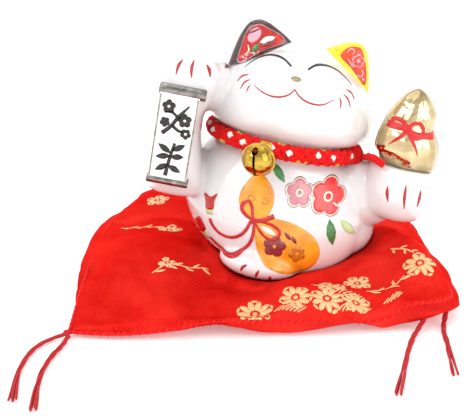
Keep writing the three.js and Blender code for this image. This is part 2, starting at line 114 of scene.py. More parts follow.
# Rounded masses that run into the body: centre and radii.
SWELLS = {
    "forearm": ((41, -13, 38), (15.5, 14, 14)),
    "upper arm": ((37, -13, 43), (15, 13, 12)),
    "hip": ((30, -9, 21), (20, 19, 16)),
    "cheek by the raised arm": ((-36, -17, 76), (8, 11.5, 11.5)),
    "front foot": ((-2, -34.5, 5.4), (18, 13.5, 6.8)),
}
TAIL = ((16, 31, 13), (15, 9, 7), 0.5)
GLAZE_GRAIN = 0.75
GLAZE_SOFTENING = 14

# Each ear's outline from the front: across and up, with the middle that it swells from.
EARS = {
    "brown": ((-18.5, 91), [
        (-34, 78), (-32, 85), (-30.4, 93), (-28.2, 100.4), (-25.8, 104.6), (-21.6, 106.8), (-17, 106),
        (-12.5, 104), (-7, 100.8), (-2, 96.5), (-6, 84), (-20, 76),
    ]),
    "yellow": ((19.5, 90), [
        (34, 78), (32.8, 85), (31.4, 92), (29.6, 98.4), (27.2, 102.8), (23, 105), (18, 103.9), (13.4, 101.8),
        (9, 99.2), (4, 95), (6, 84), (20, 76),
    ]),
}
EAR_DEEP = -8
EAR_FRONT, EAR_BACK = 4.5, 7.5
EAR_STEPS = 14
EAR_ROUNDNESS = 2.6
EAR_PAINT_BACK = 0.6
# Each ear's paint: its colour, and the lines across the front that it lies to the left of.
EAR_PAINT = {
    "brown": (
        (0.050, 0.010, 0.009),
        (((-30.8, 83.8), (-7, 98.6)), ((-30, 104), (-33, 80)), ((-40, 84.4), (0, 84.4))),
    ),
    "yellow": ((0.92, 0.62, 0.01), (((9.6, 99.2), (31.3, 84.6)), ((8, 110), (6, 80)))),
}

SCROLL_FRONT, SCROLL_SUNK = -39.3, 9
SCROLL_LEFT, SCROLL_RIGHT = -56, -39.5
SCROLL_LOW, SCROLL_HIGH = 37.2, 70.6
# Each bar: the node it stands for, left, right, up, half height and depth.
SCROLL_BARS = {
    "top": ("scroll_top_bar", -56.6, -37.2, 73.3, 2.5, 4.8),
    "low": ("scroll_bottom_bar", -56.6, -38.8, 35.2, 2.1, 4.4),
}

GOURD_ROWS = [
    (57.0, 10.9, 9.8, 54.8, -20), (57.6, 11.9, 10.8, 54.6, -20), (60.3, 13.1, 12, 53.8, -20),
    (63.5, 14, 12.9, 52.8, -20), (68, 13.7, 12.6, 52.4, -20), (72.7, 12, 11, 51.5, -20),
    (75.4, 10.8, 9.9, 51, -20), (78.2, 10.3, 9.5, 51.2, -20), (80.6, 9.7, 9, 51.8, -20),
    (83.1, 8.5, 8, 52, -20), (87.3, 5.8, 5.5, 51.8, -20), (90.1, 2.6, 2.6, 51.6, -20),
    (91, 0.5, 0.5, 51.5, -20),
]
FACET_MIDDLE = 0.6

COLLAR_CENTRE = Vector((0, -2, 56))
COLLAR_RADIUS = 33.5
STRANDS_EACH_WAY, BRAID_TURNS, BRAID_STEPS = 4, 11, 704
BRAID_RADIUS, BRAID_WEAVE, STRAND_RADIUS, STRAND_SIDES = 2.05, 0.5, 1.3, 9
# Strands with flecks: which strand, which material, and how far on its flecks start.
FLECKS = ((0, 1, 0), (2, 2, 16), (5, 2, 8), (7, 1, 24))
FLECK_EVERY, FLECK_LONG = 32, 7
KNOT_TURN = math.radians(68)
KNOT_SHIFTS = (-2.4, 0, 2.4)
KNOT_RADIUS, KNOT_SLANT, KNOT_THREAD = 3.6, 0.7, 1.25
COLLAR_TAIL = [
    (32.4, -15.4, 56), (37.6, -17.4, 56.8), (36, -22.5, 58.6), (37, -28.5, 59.4), (41, -34.2, 58.4),
]

BELL_TURN = math.radians(-15)
BELL_DROOP = math.radians(14)
BELL_REACH = 11.65
BELL_RADIUS = 6.75
BELL_WALL = 0.6
BELL_HOLES_OUT = 5.2
PELLET_DROP, PELLET_RADIUS = 4, 1.9
# The strap's two ends round the cord, in degrees; the first stops short so that it clears the neck.
STRAP_ENDS = (-66, 80)
STRAP_BEND = 4.1
WIRE_RADIUS, WIRE_PLACES, BEAD_PLACES = 0.65, (-2, -1, 0, 1, 2), (-2.5, 0, 2.5)

# The sewn edge of the cushion, anticlockwise from its front left corner: x, y, z.
SEAM_SIDES = [
    [
        (-75, -82, 2.5), (-61.5, -83.6, 2.6), (-46.6, -83.3, 3.2), (-35.9, -82.4, 4.2), (-21.1, -80.1, 6),
        (-5, -78.6, 6), (15.1, -77.1, 6), (31.5, -75.4, 5.5), (43.4, -74, 4.8), (48.8, -72.2, 5.6),
        (53, -70.8, 8.4), (57.5, -70.2, 10.6), (63.2, -68.4, 10.2), (70.4, -65.5, 9.4), (77, -60, 9),
    ],
    [(77, -60, 9), (78, -25, 10), (78, 20, 10), (78, 62, 11.5)],
    [(78, 62, 11.5), (30, 66, 8), (-25, 71, 8), (-70, 80, 12)],
    [(-70, 80, 12), (-77, 34, 13), (-79.5, 2, 12.5), (-78, -45, 8), (-75, -82, 2.5)],
]
CORNER_ROUNDING = 6
# How high the full cushion stands in front, and how much more behind, over its depth.
CROWN_FRONT, CROWN_MORE, CROWN_FROM, CROWN_DEPTH = 12, 9, -80, 150
# Folds and dents of the cushion's top: how high, from where, to where, how wide.
CUSHION_FOLDS = [
    (8, (56, -8), (71, -46), 10), (-7.5, (-4, -47), (43, -8), 13), (2.0, (-20, -62), (30, -66), 7),
    (2.2, (-66, -52), (-52, 6), 9), (1.8, (10, -58), (52, -62), 6),
]
EDGE_SQUARE, EDGE_ROUND = 6, 0.55
UNDER_LIFT = 0.35
UNDER_BULGE = 0.75
THINNEST = 0.8
PRESS_GAP = 0.9
FLOOR_REST = 0.45
OPEN_SKY = 999
CLOTH_CELLS = 84
CLOTH_FRAMES = 20
CLOTH_MOVE = 3.2
CLOTH_LOW = 0.3
CLOTH = {
    "quality": 5, "mass": 0.15, "tension_stiffness": 25, "compression_stiffness": 12, "shear_stiffness": 6,
    "bending_stiffness": 0.12, "shrink_min": -0.035, "use_pressure": True, "uniform_pressure_force": 3.2,
    "vertex_group_mass": "held",
}

EDGE_RADIUS, STITCH_RADIUS = 0.7, 0.2
STITCH_OUT, STITCH_OVER, STITCH_SINK, STITCH_TURN = 0.85, 0.88, 0.15, 2.4
STITCH_GAPS, STITCH_LEANS = (2.6, 3.6), (0.6, 1.1)
STITCH_SEED = 4
CORNER_KNOTS = ((-75.8, -82.9, 2.6), (65.4, -68.2, 8.6), (73.7, -64.9, 7.4))
CORNER_KNOT_RADII = (1.3, 1.2, 1.3)

TASSELS = {
    "tassel_left_outer": [
        (-76.3, -83.6, 2.3), (-80, -85, 1.6), (-83.6, -89, 1.4), (-85.6, -95, 1.3), (-86, -103, 1.3),
        (-84.8, -113, 1.3), (-81.7, -125.5, 1.3),
    ],
    "tassel_left_inner": [
        (-74.6, -84.6, 2.2), (-75.6, -90, 1.4), (-77, -98, 1.3), (-77.3, -107, 1.3), (-76, -118, 1.3),
        (-73.4, -130.5, 1.3),
    ],
    "tassel_right_inner": [
        (65.5, -68.2, 8.2), (63.4, -70.8, 5.4), (60.6, -74.6, 2.6), (57.3, -80, 1.4), (54.4, -87, 1.3),
        (51.5, -95, 1.3), (49, -103, 1.3), (46.6, -110.5, 1.3), (44, -118.3, 1.3),
    ],
    "tassel_right_outer": [
        (73.6, -65.3, 6.6), (72.9, -66.2, 4.4), (72, -68.2, 2.2), (71, -72, 1.4), (70, -76.5, 1.3),
        (69.5, -82, 1.3), (68.3, -90, 1.3), (67, -99, 1.3), (66, -105.6, 1.3),
    ],
}
# Twisted threads: how many, how far from the middle, how thick, turns' length, how they open out.
TASSEL_TWIST = (4, 0.62, 0.42, 14, 0.55)
COLLAR_TAIL_TWIST = (3, 0.95, 1.0, 9, 0.1)
# How threads slacken, from where they open out and how sharply, how they waver and how flat they lie.
SLACKEN, OPEN_FROM, OPEN_SHARPLY = 0.55, 0.6, 1.6
WAVER, WAVERS, LIE_FLAT = 0.175, 9, 0.45

CORD_RED = (0.74, 0.010, 0.010)
THREAD_RED = (0.52, 0.030, 0.034)
STITCH_RED = (0.78, 0.040, 0.032)
FLECK_WHITE = (0.88, 0.84, 0.80)
FLECK_GOLD = (0.80, 0.44, 0.08)
# SATIN_LIGHT is the lighter red of the painted sheen patches and of the faint woven leaves.
SATIN_RED, SATIN_LIGHT, LINING_RED = (0.68, 0.011, 0.008), (0.92, 0.045, 0.03), (0.58, 0.012, 0.011)
BLACK, WHITE = (0, 0, 0), (1, 1, 1)

# The painted decoration's colours, each with how it differs from plain enamel.
ENAMELS = {
    "black": ("black enamel", (0.010, 0.008, 0.010), {"coat": 0.15}),
    "mouth": ("red line enamel", (0.46, 0.014, 0.022), {"coat": 0.1}),
    "claw": ("claw enamel", (0.42, 0.014, 0.018), {"coat": 0.1}),
    "nose": ("olive gold enamel", (0.33, 0.27, 0.13), {"metal": 0.4}),
    "orange": ("gourd enamel", (0.86, 0.30, 0.012), {"grain": 0.16, "spread": 0.25}),
    "ochre": ("gourd line enamel", (0.52, 0.15, 0.008), {}),
    "red": ("ribbon enamel", (0.50, 0.008, 0.008), {"coat": 0.15}),
    "scarlet": ("blossom red enamel", (0.80, 0.022, 0.022), {"grain": 0.3}),
    "pink": ("blossom pink enamel", (0.58, 0.22, 0.26), {"grain": 0.3}),
    "silver": ("silver line enamel", (0.45, 0.40, 0.42), {"metal": 0.6}),
    "green": ("leaf green enamel", (0.035, 0.20, 0.045), {"grain": 0.3, "spread": 0.3}),
    "pale green": ("pale green enamel", (0.50, 0.68, 0.30), {"grain": 0.3}),
    "cream": ("cream enamel", (0.90, 0.84, 0.70), {}),
    "maroon": ("maroon enamel", (0.22, 0.020, 0.030), {}),
    "ear red": ("ear red enamel", (0.50, 0.012, 0.008), {"coat": 0.2, "grain": 0.25, "spread": 0.35}),
    "ear orange": ("ear orange enamel", (0.68, 0.055, 0.008), {"coat": 0.2, "grain": 0.25, "spread": 0.2}),
    "rose": ("rose enamel", (0.72, 0.34, 0.42), {"grain": 0.3}),
    "bow": ("gourd ribbon enamel", (0.60, 0.010, 0.016), {"rough": 0.4, "coat": 0.0}),
}


# ---------------------------------------------------------------- curves and plain shapes
def circle(steps):
    """Even angles round a full turn."""
    return np.linspace(0, 2 * math.pi, steps, endpoint=False)


def unit(arrow):
    """A direction, or rows of directions, one long."""
    return arrow / np.linalg.norm(arrow, axis=-1, keepdims=True)


def distances(points):
    """How far along a run of points each one is."""
    gaps = np.linalg.norm(np.diff(np.array(points, float), axis=0), axis=1)
    return np.concatenate([[0], np.cumsum(gaps)])


def eased(rows, steps):
    """A smooth run of points through the given rows, evenly spaced along them."""
    rows = np.array(rows, float)
    along = distances(rows)
    slope = np.gradient(rows, along, axis=0)
    at = np.linspace(0, along[-1], steps)
    i = np.clip(np.searchsorted(along, at, side="right") - 1, 0, len(rows) - 2)
    gap = (along[i + 1] - along[i])[:, None]
    t = (at - along[i])[:, None] / gap
    start = rows[i] * (1 + 2 * t) * (1 - t) ** 2 + slope[i] * gap * t * (1 - t) ** 2
    end = rows[i + 1] * t * t * (3 - 2 * t) + slope[i + 1] * gap * t * t * (t - 1)
    return start + end


def rings(grid, closed=False):
    """Faces over rings of points: a tube with end caps, or a ring that meets itself."""
    count, around = grid.shape[:2]
    faces = []
    for i in range(count if closed else count - 1):
        for k in range(around):
            n, j = (k + 1) % around, (i + 1) % count
            faces.append((i * around + k, i * around + n, j * around + n, j * around + k))
    if not closed:
        faces.append(tuple(reversed(range(around))))
        faces.append(tuple(range((count - 1) * around, count * around)))
    return grid.reshape(-1, 3), faces


def loft(rows, steps=70, around=96, square=2.0, facets=0, facet=0.0):
    """A closed solid through elliptic rows; a square above 2 flattens its sides."""
    turn = circle(around)
    swell = 1 + facet * (np.abs(np.cos(facets * turn / 2)) - FACET_MIDDLE)
    across = swell * np.sign(np.cos(turn)) * np.abs(np.cos(turn)) ** (2 / square)
    deep = swell * np.sign(np.sin(turn)) * np.abs(np.sin(turn)) ** (2 / square)
    return rings(np.array([
        np.stack([cu + a * across, cv + b * deep, np.full(around, w)], 1)
        for w, a, b, cu, cv in eased(rows, steps)
    ]))


def ellipsoid(centre, radii, turn=0.0, steps=40, around=64):
    """A ball stretched to its radii and turned about up."""
    tilt = np.linspace(0.001, math.pi - 0.001, steps)[::-1, None]
    spin = circle(around)[None]
    x = np.sin(tilt) * np.cos(spin) * radii[0]
    y = np.sin(tilt) * np.sin(spin) * radii[1]
    z = np.cos(tilt) * radii[2] + 0 * spin
    c, s = math.cos(turn), math.sin(turn)
    return rings(np.stack([x * c - y * s, x * s + y * c, z], -1) + np.array(centre))


def frames_along(route, closed=False):
    """Two directions across a route at each of its points, without twist."""
    route = np.array(route, float)
    ahead = unit(np.roll(route, -1, 0) - np.roll(route, 1, 0) if closed else np.gradient(route, axis=0))
    side = np.cross(ahead[0], (0, 0, 1) if abs(ahead[0][2]) < 0.9 else (1, 0, 0))
    sides = []
    for forward in ahead:
        side = unit(side - forward * np.dot(side, forward))
        sides.append(side)
    sides = np.array(sides)
    return sides, np.cross(ahead, sides)


def tube(route, radius, around=8, closed=False):
    """A round tube along a route."""
    route = np.array(route, float)
    side, over = frames_along(route, closed)
    grid = [route + radius * (math.cos(a) * side + math.sin(a) * over) for a in circle(around)]
    return rings(np.stack(grid, 1), closed)


def turned(rows, around, swell=1.0):
    """A solid turned about up from radius and height rows; swell may vary round it."""
    spin = circle(around)
    x, y = swell * np.cos(spin), swell * np.sin(spin)
    return rings(np.array([np.stack([r * x, r * y, np.full(around, h)], 1) for r, h in rows]))


def box_shape(low, high):
    """An upright box between two corners."""
    points = [(x, y, z) for z in (low[2], high[2]) for y in (low[1], high[1]) for x in (low[0], high[0])]
    faces = [(0, 2, 3, 1), (4, 5, 7, 6), (0, 1, 5, 4), (2, 6, 7, 3), (0, 4, 6, 2), (1, 3, 7, 5)]
    return np.array(points, float), faces


# ---------------------------------------------------------------- making pieces
def new_piece(name, shapes, materials, place=WORLD, marks=None, smooth=True):
    """One mesh object from several shapes; marks gives each shape its material number."""
    points, faces, mark = [], [], []
    for n, (shape_points, shape_faces) in enumerate(shapes):
        base = len(points)
        points.extend(place @ Vector(p) * MM for p in shape_points)
        faces.extend([base + i for i in face] for face in shape_faces)
        mark.extend([marks[n] if marks else 0] * len(shape_faces))
    mesh = bpy.data.meshes.new(name)
    mesh.from_pydata(points, [], faces)
    mesh.polygons.foreach_set("material_index", mark)
    mesh.polygons.foreach_set("use_smooth", [smooth] * len(faces))
    mesh.update()
    made = bpy.data.objects.new(name, mesh)
    bpy.context.scene.collection.objects.link(made)
    for material in materials:
        mesh.materials.append(material)
    return made


def put_on(piece, body, slot, *nodes):
    """Puts a piece on a body, in place of its CAD nodes if it has any; the slot is not used."""
    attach(piece, body)
    if nodes:
        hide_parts(*nodes)
    return piece


def apply_modifiers(obj):
    """Keeps the mesh as its modifiers leave it."""
    evaluated = obj.evaluated_get(bpy.context.evaluated_depsgraph_get())
    kept = bpy.data.meshes.new_from_object(evaluated)
    obj.modifiers.clear()
    obj.data = kept


def add_modifier(obj, name, kind, **settings):
    """A modifier with its settings."""
    modifier = obj.modifiers.new(name, kind)
    for key, value in settings.items():
        setattr(modifier, key, value)
    return modifier


def smooth_by_angle(obj, angle=40):
    """Shades a piece smooth except across its sharp edges."""
    bpy.context.view_layer.update()
    obj.data.shade_smooth()
    obj.data.set_sharp_from_angle(angle=math.radians(angle))
    return obj


# ---------------------------------------------------------------- materials
class Nodes:
    """A node tree, with short ways to add nodes that are joined as they are made."""

    def __init__(self, tree):
        self.nodes, self.links = tree.nodes, tree.links

    def add(self, kind, inputs, output=0, **settings):
        """A node's output; each input is another node's output or a plain value."""
        node = self.nodes.new("ShaderNode" + kind)
        for key, value in settings.items():
            setattr(node, key, value)
        for socket, value in inputs.items():
            self.feed(node.inputs[socket], value)
        return node.outputs[output]

    def feed(self, socket, value):
        """Joins an output to a socket, or sets the socket's own value."""
        if isinstance(value, bpy.types.NodeSocket):
            self.links.new(value, socket)
        else:
            socket.default_value = value

    def ramp(self, value, stops):
        """A colour ramp over a value; stops are (position, colour)."""
        colour = self.add("ValToRGB", {"Fac": value}, "Color")
        elements = colour.node.color_ramp.elements
        while len(elements) < len(stops):
            elements.new(0.5)
        for element, (position, shade) in zip(elements, stops):
            element.position = position
            element.color = (*shade, 1)
        return colour

    def coordinates(self, turn=(0, 0, 0)):
        """The object's own coordinates in millimetres, turned."""
        source = self.add("TexCoord", {}, "Object")
        return self.add("Mapping", {"Vector": source, "Scale": [1 / MM] * 3, "Rotation": turn})

    def noise(self, vector, scale, detail=3.0):
        """A noise value over the given coordinates."""
        return self.add("TexNoise", {"Vector": vector, "Scale": scale, "Detail": detail}, "Fac")

    def wave(self, turn, scale, **look):
        """Fine parallel ribs."""
        return self.add("TexWave", {"Vector": self.coordinates(turn), "Scale": scale, **look}, "Fac")

    def mixed(self, share, first, second):
        """Two colours mixed by a share; the second is a plain colour or an output."""
        second = (*second, 1) if isinstance(second, tuple) else second
        return self.add("Mix", {0: share, 6: first, 7: second}, 2, data_type="RGBA")

    def times(self, first, second):
        """Two values multiplied."""
        return self.add("Math", {0: first, 1: second}, operation="MULTIPLY")

    def beyond(self, point, facing, soft=0.35):
        """A mask that is 1 beyond a plane through a point in the cat's frame, and 0 before it."""
        normal = (CAT.to_3x3() @ Vector(facing)).normalized()
        start = normal.dot(CAT @ Vector(point))
        source = self.add("TexCoord", {}, "Object")
        dot = self.add("VectorMath", {0: source, 1: normal / MM}, "Value", operation="DOT_PRODUCT")
        edge = {"Value": dot, "From Min": start - soft, "From Max": start + soft}
        return self.add("MapRange", edge, interpolation_type="SMOOTHSTEP")

    def left_of(self, start, end, soft=0.35):
        """A mask that is 1 to the left of a line across the cat's front, and 0 to its right."""
        (u0, w0), (u1, w1) = start, end
        return self.beyond((u0, 0, w0), (w0 - w1, 0, u1 - u0), soft)


class Material(Nodes):
    """A new material with its main shader."""

    def __init__(self, name):
        self.made = bpy.data.materials.new(name)
        self.made.use_nodes = True
        super().__init__(self.made.node_tree)
        self.shader = self.nodes["Principled BSDF"]

    def shade(self, values):
        """Sets or joins the shader's sockets."""
        for socket, value in values.items():
            self.feed(self.shader.inputs[socket], value)

    def bump(self, height, strength, distance):
        """Bumps from a height; the distance is in millimetres."""
        inputs = {"Height": height, "Strength": strength, "Distance": distance * MM}
        self.shade({"Normal": self.add("Bump", inputs)})


def varied(colour, low, high):
    """A colour darkened and lightened, for the two ends of a ramp."""
    return [(0.3, tuple(c * low for c in colour)), (0.7, tuple(min(1, c * high) for c in colour))]


def painted(name, colour, rough=0.25, metal=0.0, coat=0.6, grain=0.5, spread=0.1, relief=0.1):
    """Enamel, lustre or ink: a colour that varies a little, under a clear coat."""
    paint = Material(name)
    vector = paint.coordinates()
    cloud = paint.noise(vector, grain)
    paint.shade({
        "Base Color": paint.ramp(cloud, varied(colour, 1 - spread, 1 + spread)),
        "Roughness": paint.ramp(cloud, [(0.2, (rough * 0.8,) * 3), (0.8, (rough * 1.25,) * 3)]),
        "Metallic": metal, "Coat Weight": coat, "Coat Roughness": 0.04,
    })
    paint.bump(paint.noise(vector, grain * 4), relief, 0.1)
    return paint.made


def threaded(name, colour):
    """Twisted yarn: fine ribs, a soft shine and a little unevenness."""
    yarn = Material(name)
    cloud = yarn.noise(yarn.coordinates(), 0.8, 5)
    fibre = yarn.noise(yarn.coordinates((0.6, 0.5, 0.4)), 1 / 0.35, 6)
    ribs = yarn.ramp(fibre, varied(colour, 0.85, 1.3))
    yarn.shade({
        "Base Color": yarn.mixed(cloud, ribs, tuple(c * 0.8 for c in colour)),
        "Roughness": 0.5, "Specular IOR Level": 0.04, "Sheen Weight": 0.05,
    })
    yarn.bump(fibre, 0.6, 0.25)
    return yarn.made


def glaze_material():
    """White glaze over the whole cat, with one ear painted brown and the other yellow."""
    glaze = Material("white glaze")
    vector = glaze.coordinates()
    tone = glaze.ramp(glaze.noise(vector, 0.05, 2), [(0.3, (0.69, 0.68, 0.68)), (0.7, (0.73, 0.725, 0.73))])
    brushed = glaze.noise(vector, 0.6, 5)
    for colour, lines in EAR_PAINT.values():
        share = glaze.beyond((0, EAR_PAINT_BACK, 0), (0, -1, 0))
        for line in lines:
            share = glaze.times(share, glaze.left_of(*line))
        tone = glaze.mixed(share, tone, glaze.ramp(brushed, varied(colour, 0.8, 1.25)))
    glaze.shade({"Base Color": tone, "Roughness": 0.16, "Coat Weight": 0.8, "Coat Roughness": 0.03})
    glaze.bump(glaze.noise(vector, 0.09, 1), 0.12, 1.0)
    return glaze.made


def satin_material(name, colour, pattern, tip=0.0):
    """Satin twill: fine slanting ribs, a cross-grain shine, soft patches of painted sheen and a faint woven
    pattern.
    """
    satin = Material(name)
    vector = satin.coordinates()
    ribs = satin.wave((tip, 0, math.radians(38)), 0.21, Distortion=0.6, Detail=1.0)
    weave = satin.times(ribs, satin.wave((tip, 0, math.radians(-60)), 0.34))
    faint = 1 if pattern else 0.3
    tone = satin.ramp(weave, varied(colour, 1 - 0.2 * faint, 1 + 0.12 * faint))
    # Painted sheen: broad soft patches, laid at random, lighter towards SATIN_LIGHT in place of highlights.
    painted_sheen_patches = satin.ramp(satin.noise(vector, 0.028, 2), [(0.35, BLACK), (0.65, WHITE)])
    tone = satin.mixed(satin.times(painted_sheen_patches, 0.5), tone, SATIN_LIGHT)
    if pattern:
        leaves = satin.ramp(satin.noise(vector, 0.16, 1.5), [(0.50, BLACK), (0.53, WHITE)])
        tone = satin.mixed(satin.times(leaves, 0.10), tone, SATIN_LIGHT)
    satin.shade({
        "Base Color": tone, "Roughness": satin.ramp(weave, [(0.2, (0.30,) * 3), (0.8, (0.44,) * 3)]),
        "Specular IOR Level": 0.0, "Specular Tint": (1.0, 0.10, 0.07, 1), "Metallic": 0.38,
    })
    satin.bump(weave, 0.4, 0.14)
    return satin.made


def brocade_material():
    """Gold-cream floss laid in fine rows."""
    floss = Material("gold brocade floss")
    rows = floss.wave((0, 0, math.radians(80)), 0.9, Distortion=1.2)
    stops = [(0.25, (0.72, 0.22, 0.06)), (0.5, (0.95, 0.66, 0.27)), (0.8, (1.0, 0.82, 0.45))]
    floss.shade({"Base Color": floss.ramp(rows, stops), "Roughness": 0.38, "Metallic": 0.15})
    floss.bump(rows, 0.5, 0.15)
    return floss.made


def gourd_gold():
    """Gold lustre with a painted dark reflection: browns mixed in low down, near the palm."""
    lustre = Material("gold lustre")
    vector = lustre.coordinates()
    gold = lustre.ramp(lustre.noise(vector, 0.12, 2), [
        (0.3, (0.50, 0.37, 0.19)), (0.5, (0.66, 0.51, 0.28)), (0.7, (0.80, 0.66, 0.40)),
    ])
    # Painted dark reflection: the lower part, near the palm, is mixed half way towards these browns.
    dark_reflection_browns = [(0.42, (0.12, 0.09, 0.06)), (0.6, (0.46, 0.38, 0.27))]
    brown = lustre.ramp(lustre.noise(vector, 0.35, 3), dark_reflection_browns)
    low = lustre.left_of((80, 61), (40, 61.5), soft=5)
    tone = lustre.mixed(lustre.times(low, 0.5), gold, brown)
    lustre.shade({"Base Color": tone, "Roughness": 0.10, "Metallic": 1.0})
    lustre.bump(lustre.noise(vector, 0.22, 1), 0.5, 0.9)
    return lustre.made


# ---------------------------------------------------------------- camera, light and floor
def make_camera():
    """The viewpoint: in front, a little above, looking slightly down."""
    data = bpy.data.cameras.new("camera")
    data.lens = LENS
    data.sensor_width = 36
    data.clip_start, data.clip_end = 0.01, 50
    camera = bpy.data.objects.new("camera", data)
    camera.location = Vector(CAMERA_PLACE) * MM
    camera.rotation_euler = [math.radians(a) for a in CAMERA_TURN]
    bpy.context.scene.collection.objects.link(camera)
    bpy.context.scene.camera = camera


def make_light(name, place, target_up, size, power):
    """A soft rectangular light that looks at a point above the middle of the floor."""
    data = bpy.data.lights.new(name, "AREA")
    data.shape = "RECTANGLE"
    data.size, data.size_y = size
    data.energy = power
    light = bpy.data.objects.new(name, data)
    light.location = place
    light.rotation_euler = (Vector((0, 0, target_up)) - Vector(place)).to_track_quat("-Z", "Y").to_euler()
    bpy.context.scene.collection.objects.link(light)


def make_room():
    """A bright even room, a little dimmer low down so that metals have something to mirror."""
    world = bpy.data.worlds.new("studio")
    world.use_nodes = True
    room = Nodes(world.node_tree)
    height = room.add("SeparateXYZ", {0: room.add("TexCoord", {}, "Generated")}, 2)
    stops = [(0.0, (0.72, 0.70, 0.69)), (0.22, (0.50, 0.48, 0.47)), (0.45, (0.95, 0.95, 0.95)), (1, WHITE)]
    background = room.nodes["Background"].inputs
    room.feed(background["Color"], room.ramp(height, stops))
    room.feed(background["Strength"], ROOM_STRENGTH)
    bpy.context.scene.world = world


def make_floor():
    """A plain pale floor that sweeps up all round into a plain pale wall."""
    sweep = [
        (FLOOR_FLAT + FLOOR_SWEEP * math.sin(a), FLOOR_SWEEP - FLOOR_SWEEP * math.cos(a))
        for a in np.linspace(0.05, math.pi / 2, 20)
    ]
    points, faces = turned([(1, 0), (600, 0), *sweep, (FLOOR_FLAT + FLOOR_SWEEP, WALL_TOP)], 96)
    look = {"rough": 0.7, "coat": 0.0, "grain": 0.01, "spread": 0.01, "relief": 0.02}
    surface = painted("pale floor", (0.95, 0.95, 0.95), **look)
    shader = surface.node_tree.nodes["Principled BSDF"]
    shader.inputs["Emission Color"].default_value = (1, 1, 1, 1)
    shader.inputs["Emission Strength"].default_value = FLOOR_GLOW
    new_piece("floor", [(points, faces[:-1])], [surface])


def make_stage():
    """Floor, room and lights."""
    make_floor()
    make_room()
    for name, light in LIGHTS.items():
        make_light(name, *light)
    bpy.context.scene.view_settings.view_transform = "Standard"


# ---------------------------------------------------------------- tassels
def twisted_threads(line, count, out, radius, pitch, splay, phase=0.0):
    """Threads wound about a line, which slacken and open out towards its far end."""
    side, over = frames_along(line)
    along = distances(line)
    share = along / along[-1]
    open_out = splay * np.clip((share - OPEN_FROM) / (1 - OPEN_FROM), 0, 1) ** OPEN_SHARPLY
    shapes = []
    for k in range(count):
        turn = phase + 2 * math.pi * (k / count + along / pitch * (1 - SLACKEN * share))
        wave = WAVER * np.sin(share * WAVERS + 2 * k) * (share > 0.05)
        reach = (out + wave + open_out)[:, None]
        route = line + reach * (np.cos(turn)[:, None] * side + np.sin(turn)[:, None] * over * LIE_FLAT)
        route[:, 2] = np.maximum(route[:, 2], radius + 0.1)
        shapes.append(tube(route, radius, 7))
    return shapes


def make_tassels(red):
    """The loose thread ends at the cushion's front corners, each in place of its node."""
    for n, (name, points) in enumerate(TASSELS.items()):
        line = eased(points, 90)
        threads = new_piece(name + "_threads", twisted_threads(line, *TASSEL_TWIST, phase=n), [red])
        put_on(threads, "cushion", "red_thread", name)


# ---------------------------------------------------------------- the glazed cat
def ear_shape(middle, outline):
    """An ear as a rounded slab: nearly flat in front, fuller behind."""
    edge = eased([*outline, outline[0]], 73)[:-1]
    middle = np.array(middle)

    def layer(share, thick):
        round_off = math.sqrt(max(0.0, 1 - (1 - share) ** EAR_ROUNDNESS))
        flat = edge + (middle - edge) * share * 0.98
        return np.stack([flat[:, 0], np.full(len(edge), EAR_DEEP + thick * round_off), flat[:, 1]], 1)

    front = [layer(i / (EAR_STEPS - 1), -EAR_FRONT) for i in range(EAR_STEPS)]
    back = [layer(i / EAR_STEPS, EAR_BACK) for i in range(EAR_STEPS)]
    return rings(np.array(front[::-1] + back))


def make_glaze():
    """Body, head, ears, arms, foot and tail drawn together into one glazed form."""
    shapes = [
        loft(BODY_ROWS), loft(HEAD_ROWS), loft(RAISED_ARM_ROWS, square=2.7), loft(PAW_ROWS, 50, square=2.2),
        *[ellipsoid(*swell) for swell in SWELLS.values()],
        ellipsoid(*TAIL),
        *[ear_shape(*ear) for ear in EARS.values()],
    ]
    glaze = new_piece("cat_glaze", shapes, [glaze_material()], CAT)
    skin = {"mode": "VOXEL", "voxel_size": GLAZE_GRAIN * MM, "use_smooth_shade": True}
    add_modifier(glaze, "one skin", "REMESH", **skin)
    add_modifier(glaze, "soft joins", "SMOOTH", factor=0.5, iterations=GLAZE_SOFTENING)
    apply_modifiers(glaze)
    glaze.data.shade_smooth()
    parts = ("body_shell", "head_shell", "ear_brown", "ear_yellow", "raised_arm", "holding_arm", "tail")
    return put_on(glaze, "cat", "white_glaze", *parts)


# ---------------------------------------------------------------- painted patches
def tree_of(mesh):
    """A search tree over a mesh's faces of its first material, in metres."""
    faces = [p.vertices for p in mesh.polygons if p.material_index == 0]
    return BVHTree.FromPolygons([v.co for v in mesh.vertices], faces)


class Canvas:
    """A surface that flat outlines can be laid on, seen along one direction."""

    def __init__(self, obj, place, start, ahead):
        """start and ahead turn an outline point into a ray, in the given frame."""
        bpy.context.view_layer.update()
        self.tree = tree_of(obj.evaluated_get(bpy.context.evaluated_depsgraph_get()).to_mesh())
        self.place = place
        self.start = start
        self.ahead = (place.to_3x3() @ Vector(ahead)).normalized()

    def hit(self, point, lift):
        """Where a point lands, raised off the surface by lift millimetres."""
        origin = self.place @ Vector(self.start(point))
        found, normal, _, _ = self.tree.ray_cast(origin * MM, self.ahead)
        if found is None:
            return None
        if normal.dot(self.ahead) > 0:
            normal = -normal
        return found / MM + normal * lift


def front_of(obj):
    """A canvas over a piece of the cat, seen from the cat's front."""
    return Canvas(obj, CAT, lambda p: (p[0], -80, p[1]), (0, 1, 0))


def inside_outline(point, outline):
    """True if a point lies inside a closed outline."""
    x, y = point
    x0, y0 = outline[:, 0], outline[:, 1]
    x1, y1 = np.roll(x0, -1), np.roll(y0, -1)
    crossing = (y0 > y) != (y1 > y)
    gap = np.where(y1 == y0, 1, y1 - y0)
    return bool(np.sum(crossing & (x < (x1 - x0) * (y - y0) / gap + x0)) % 2)


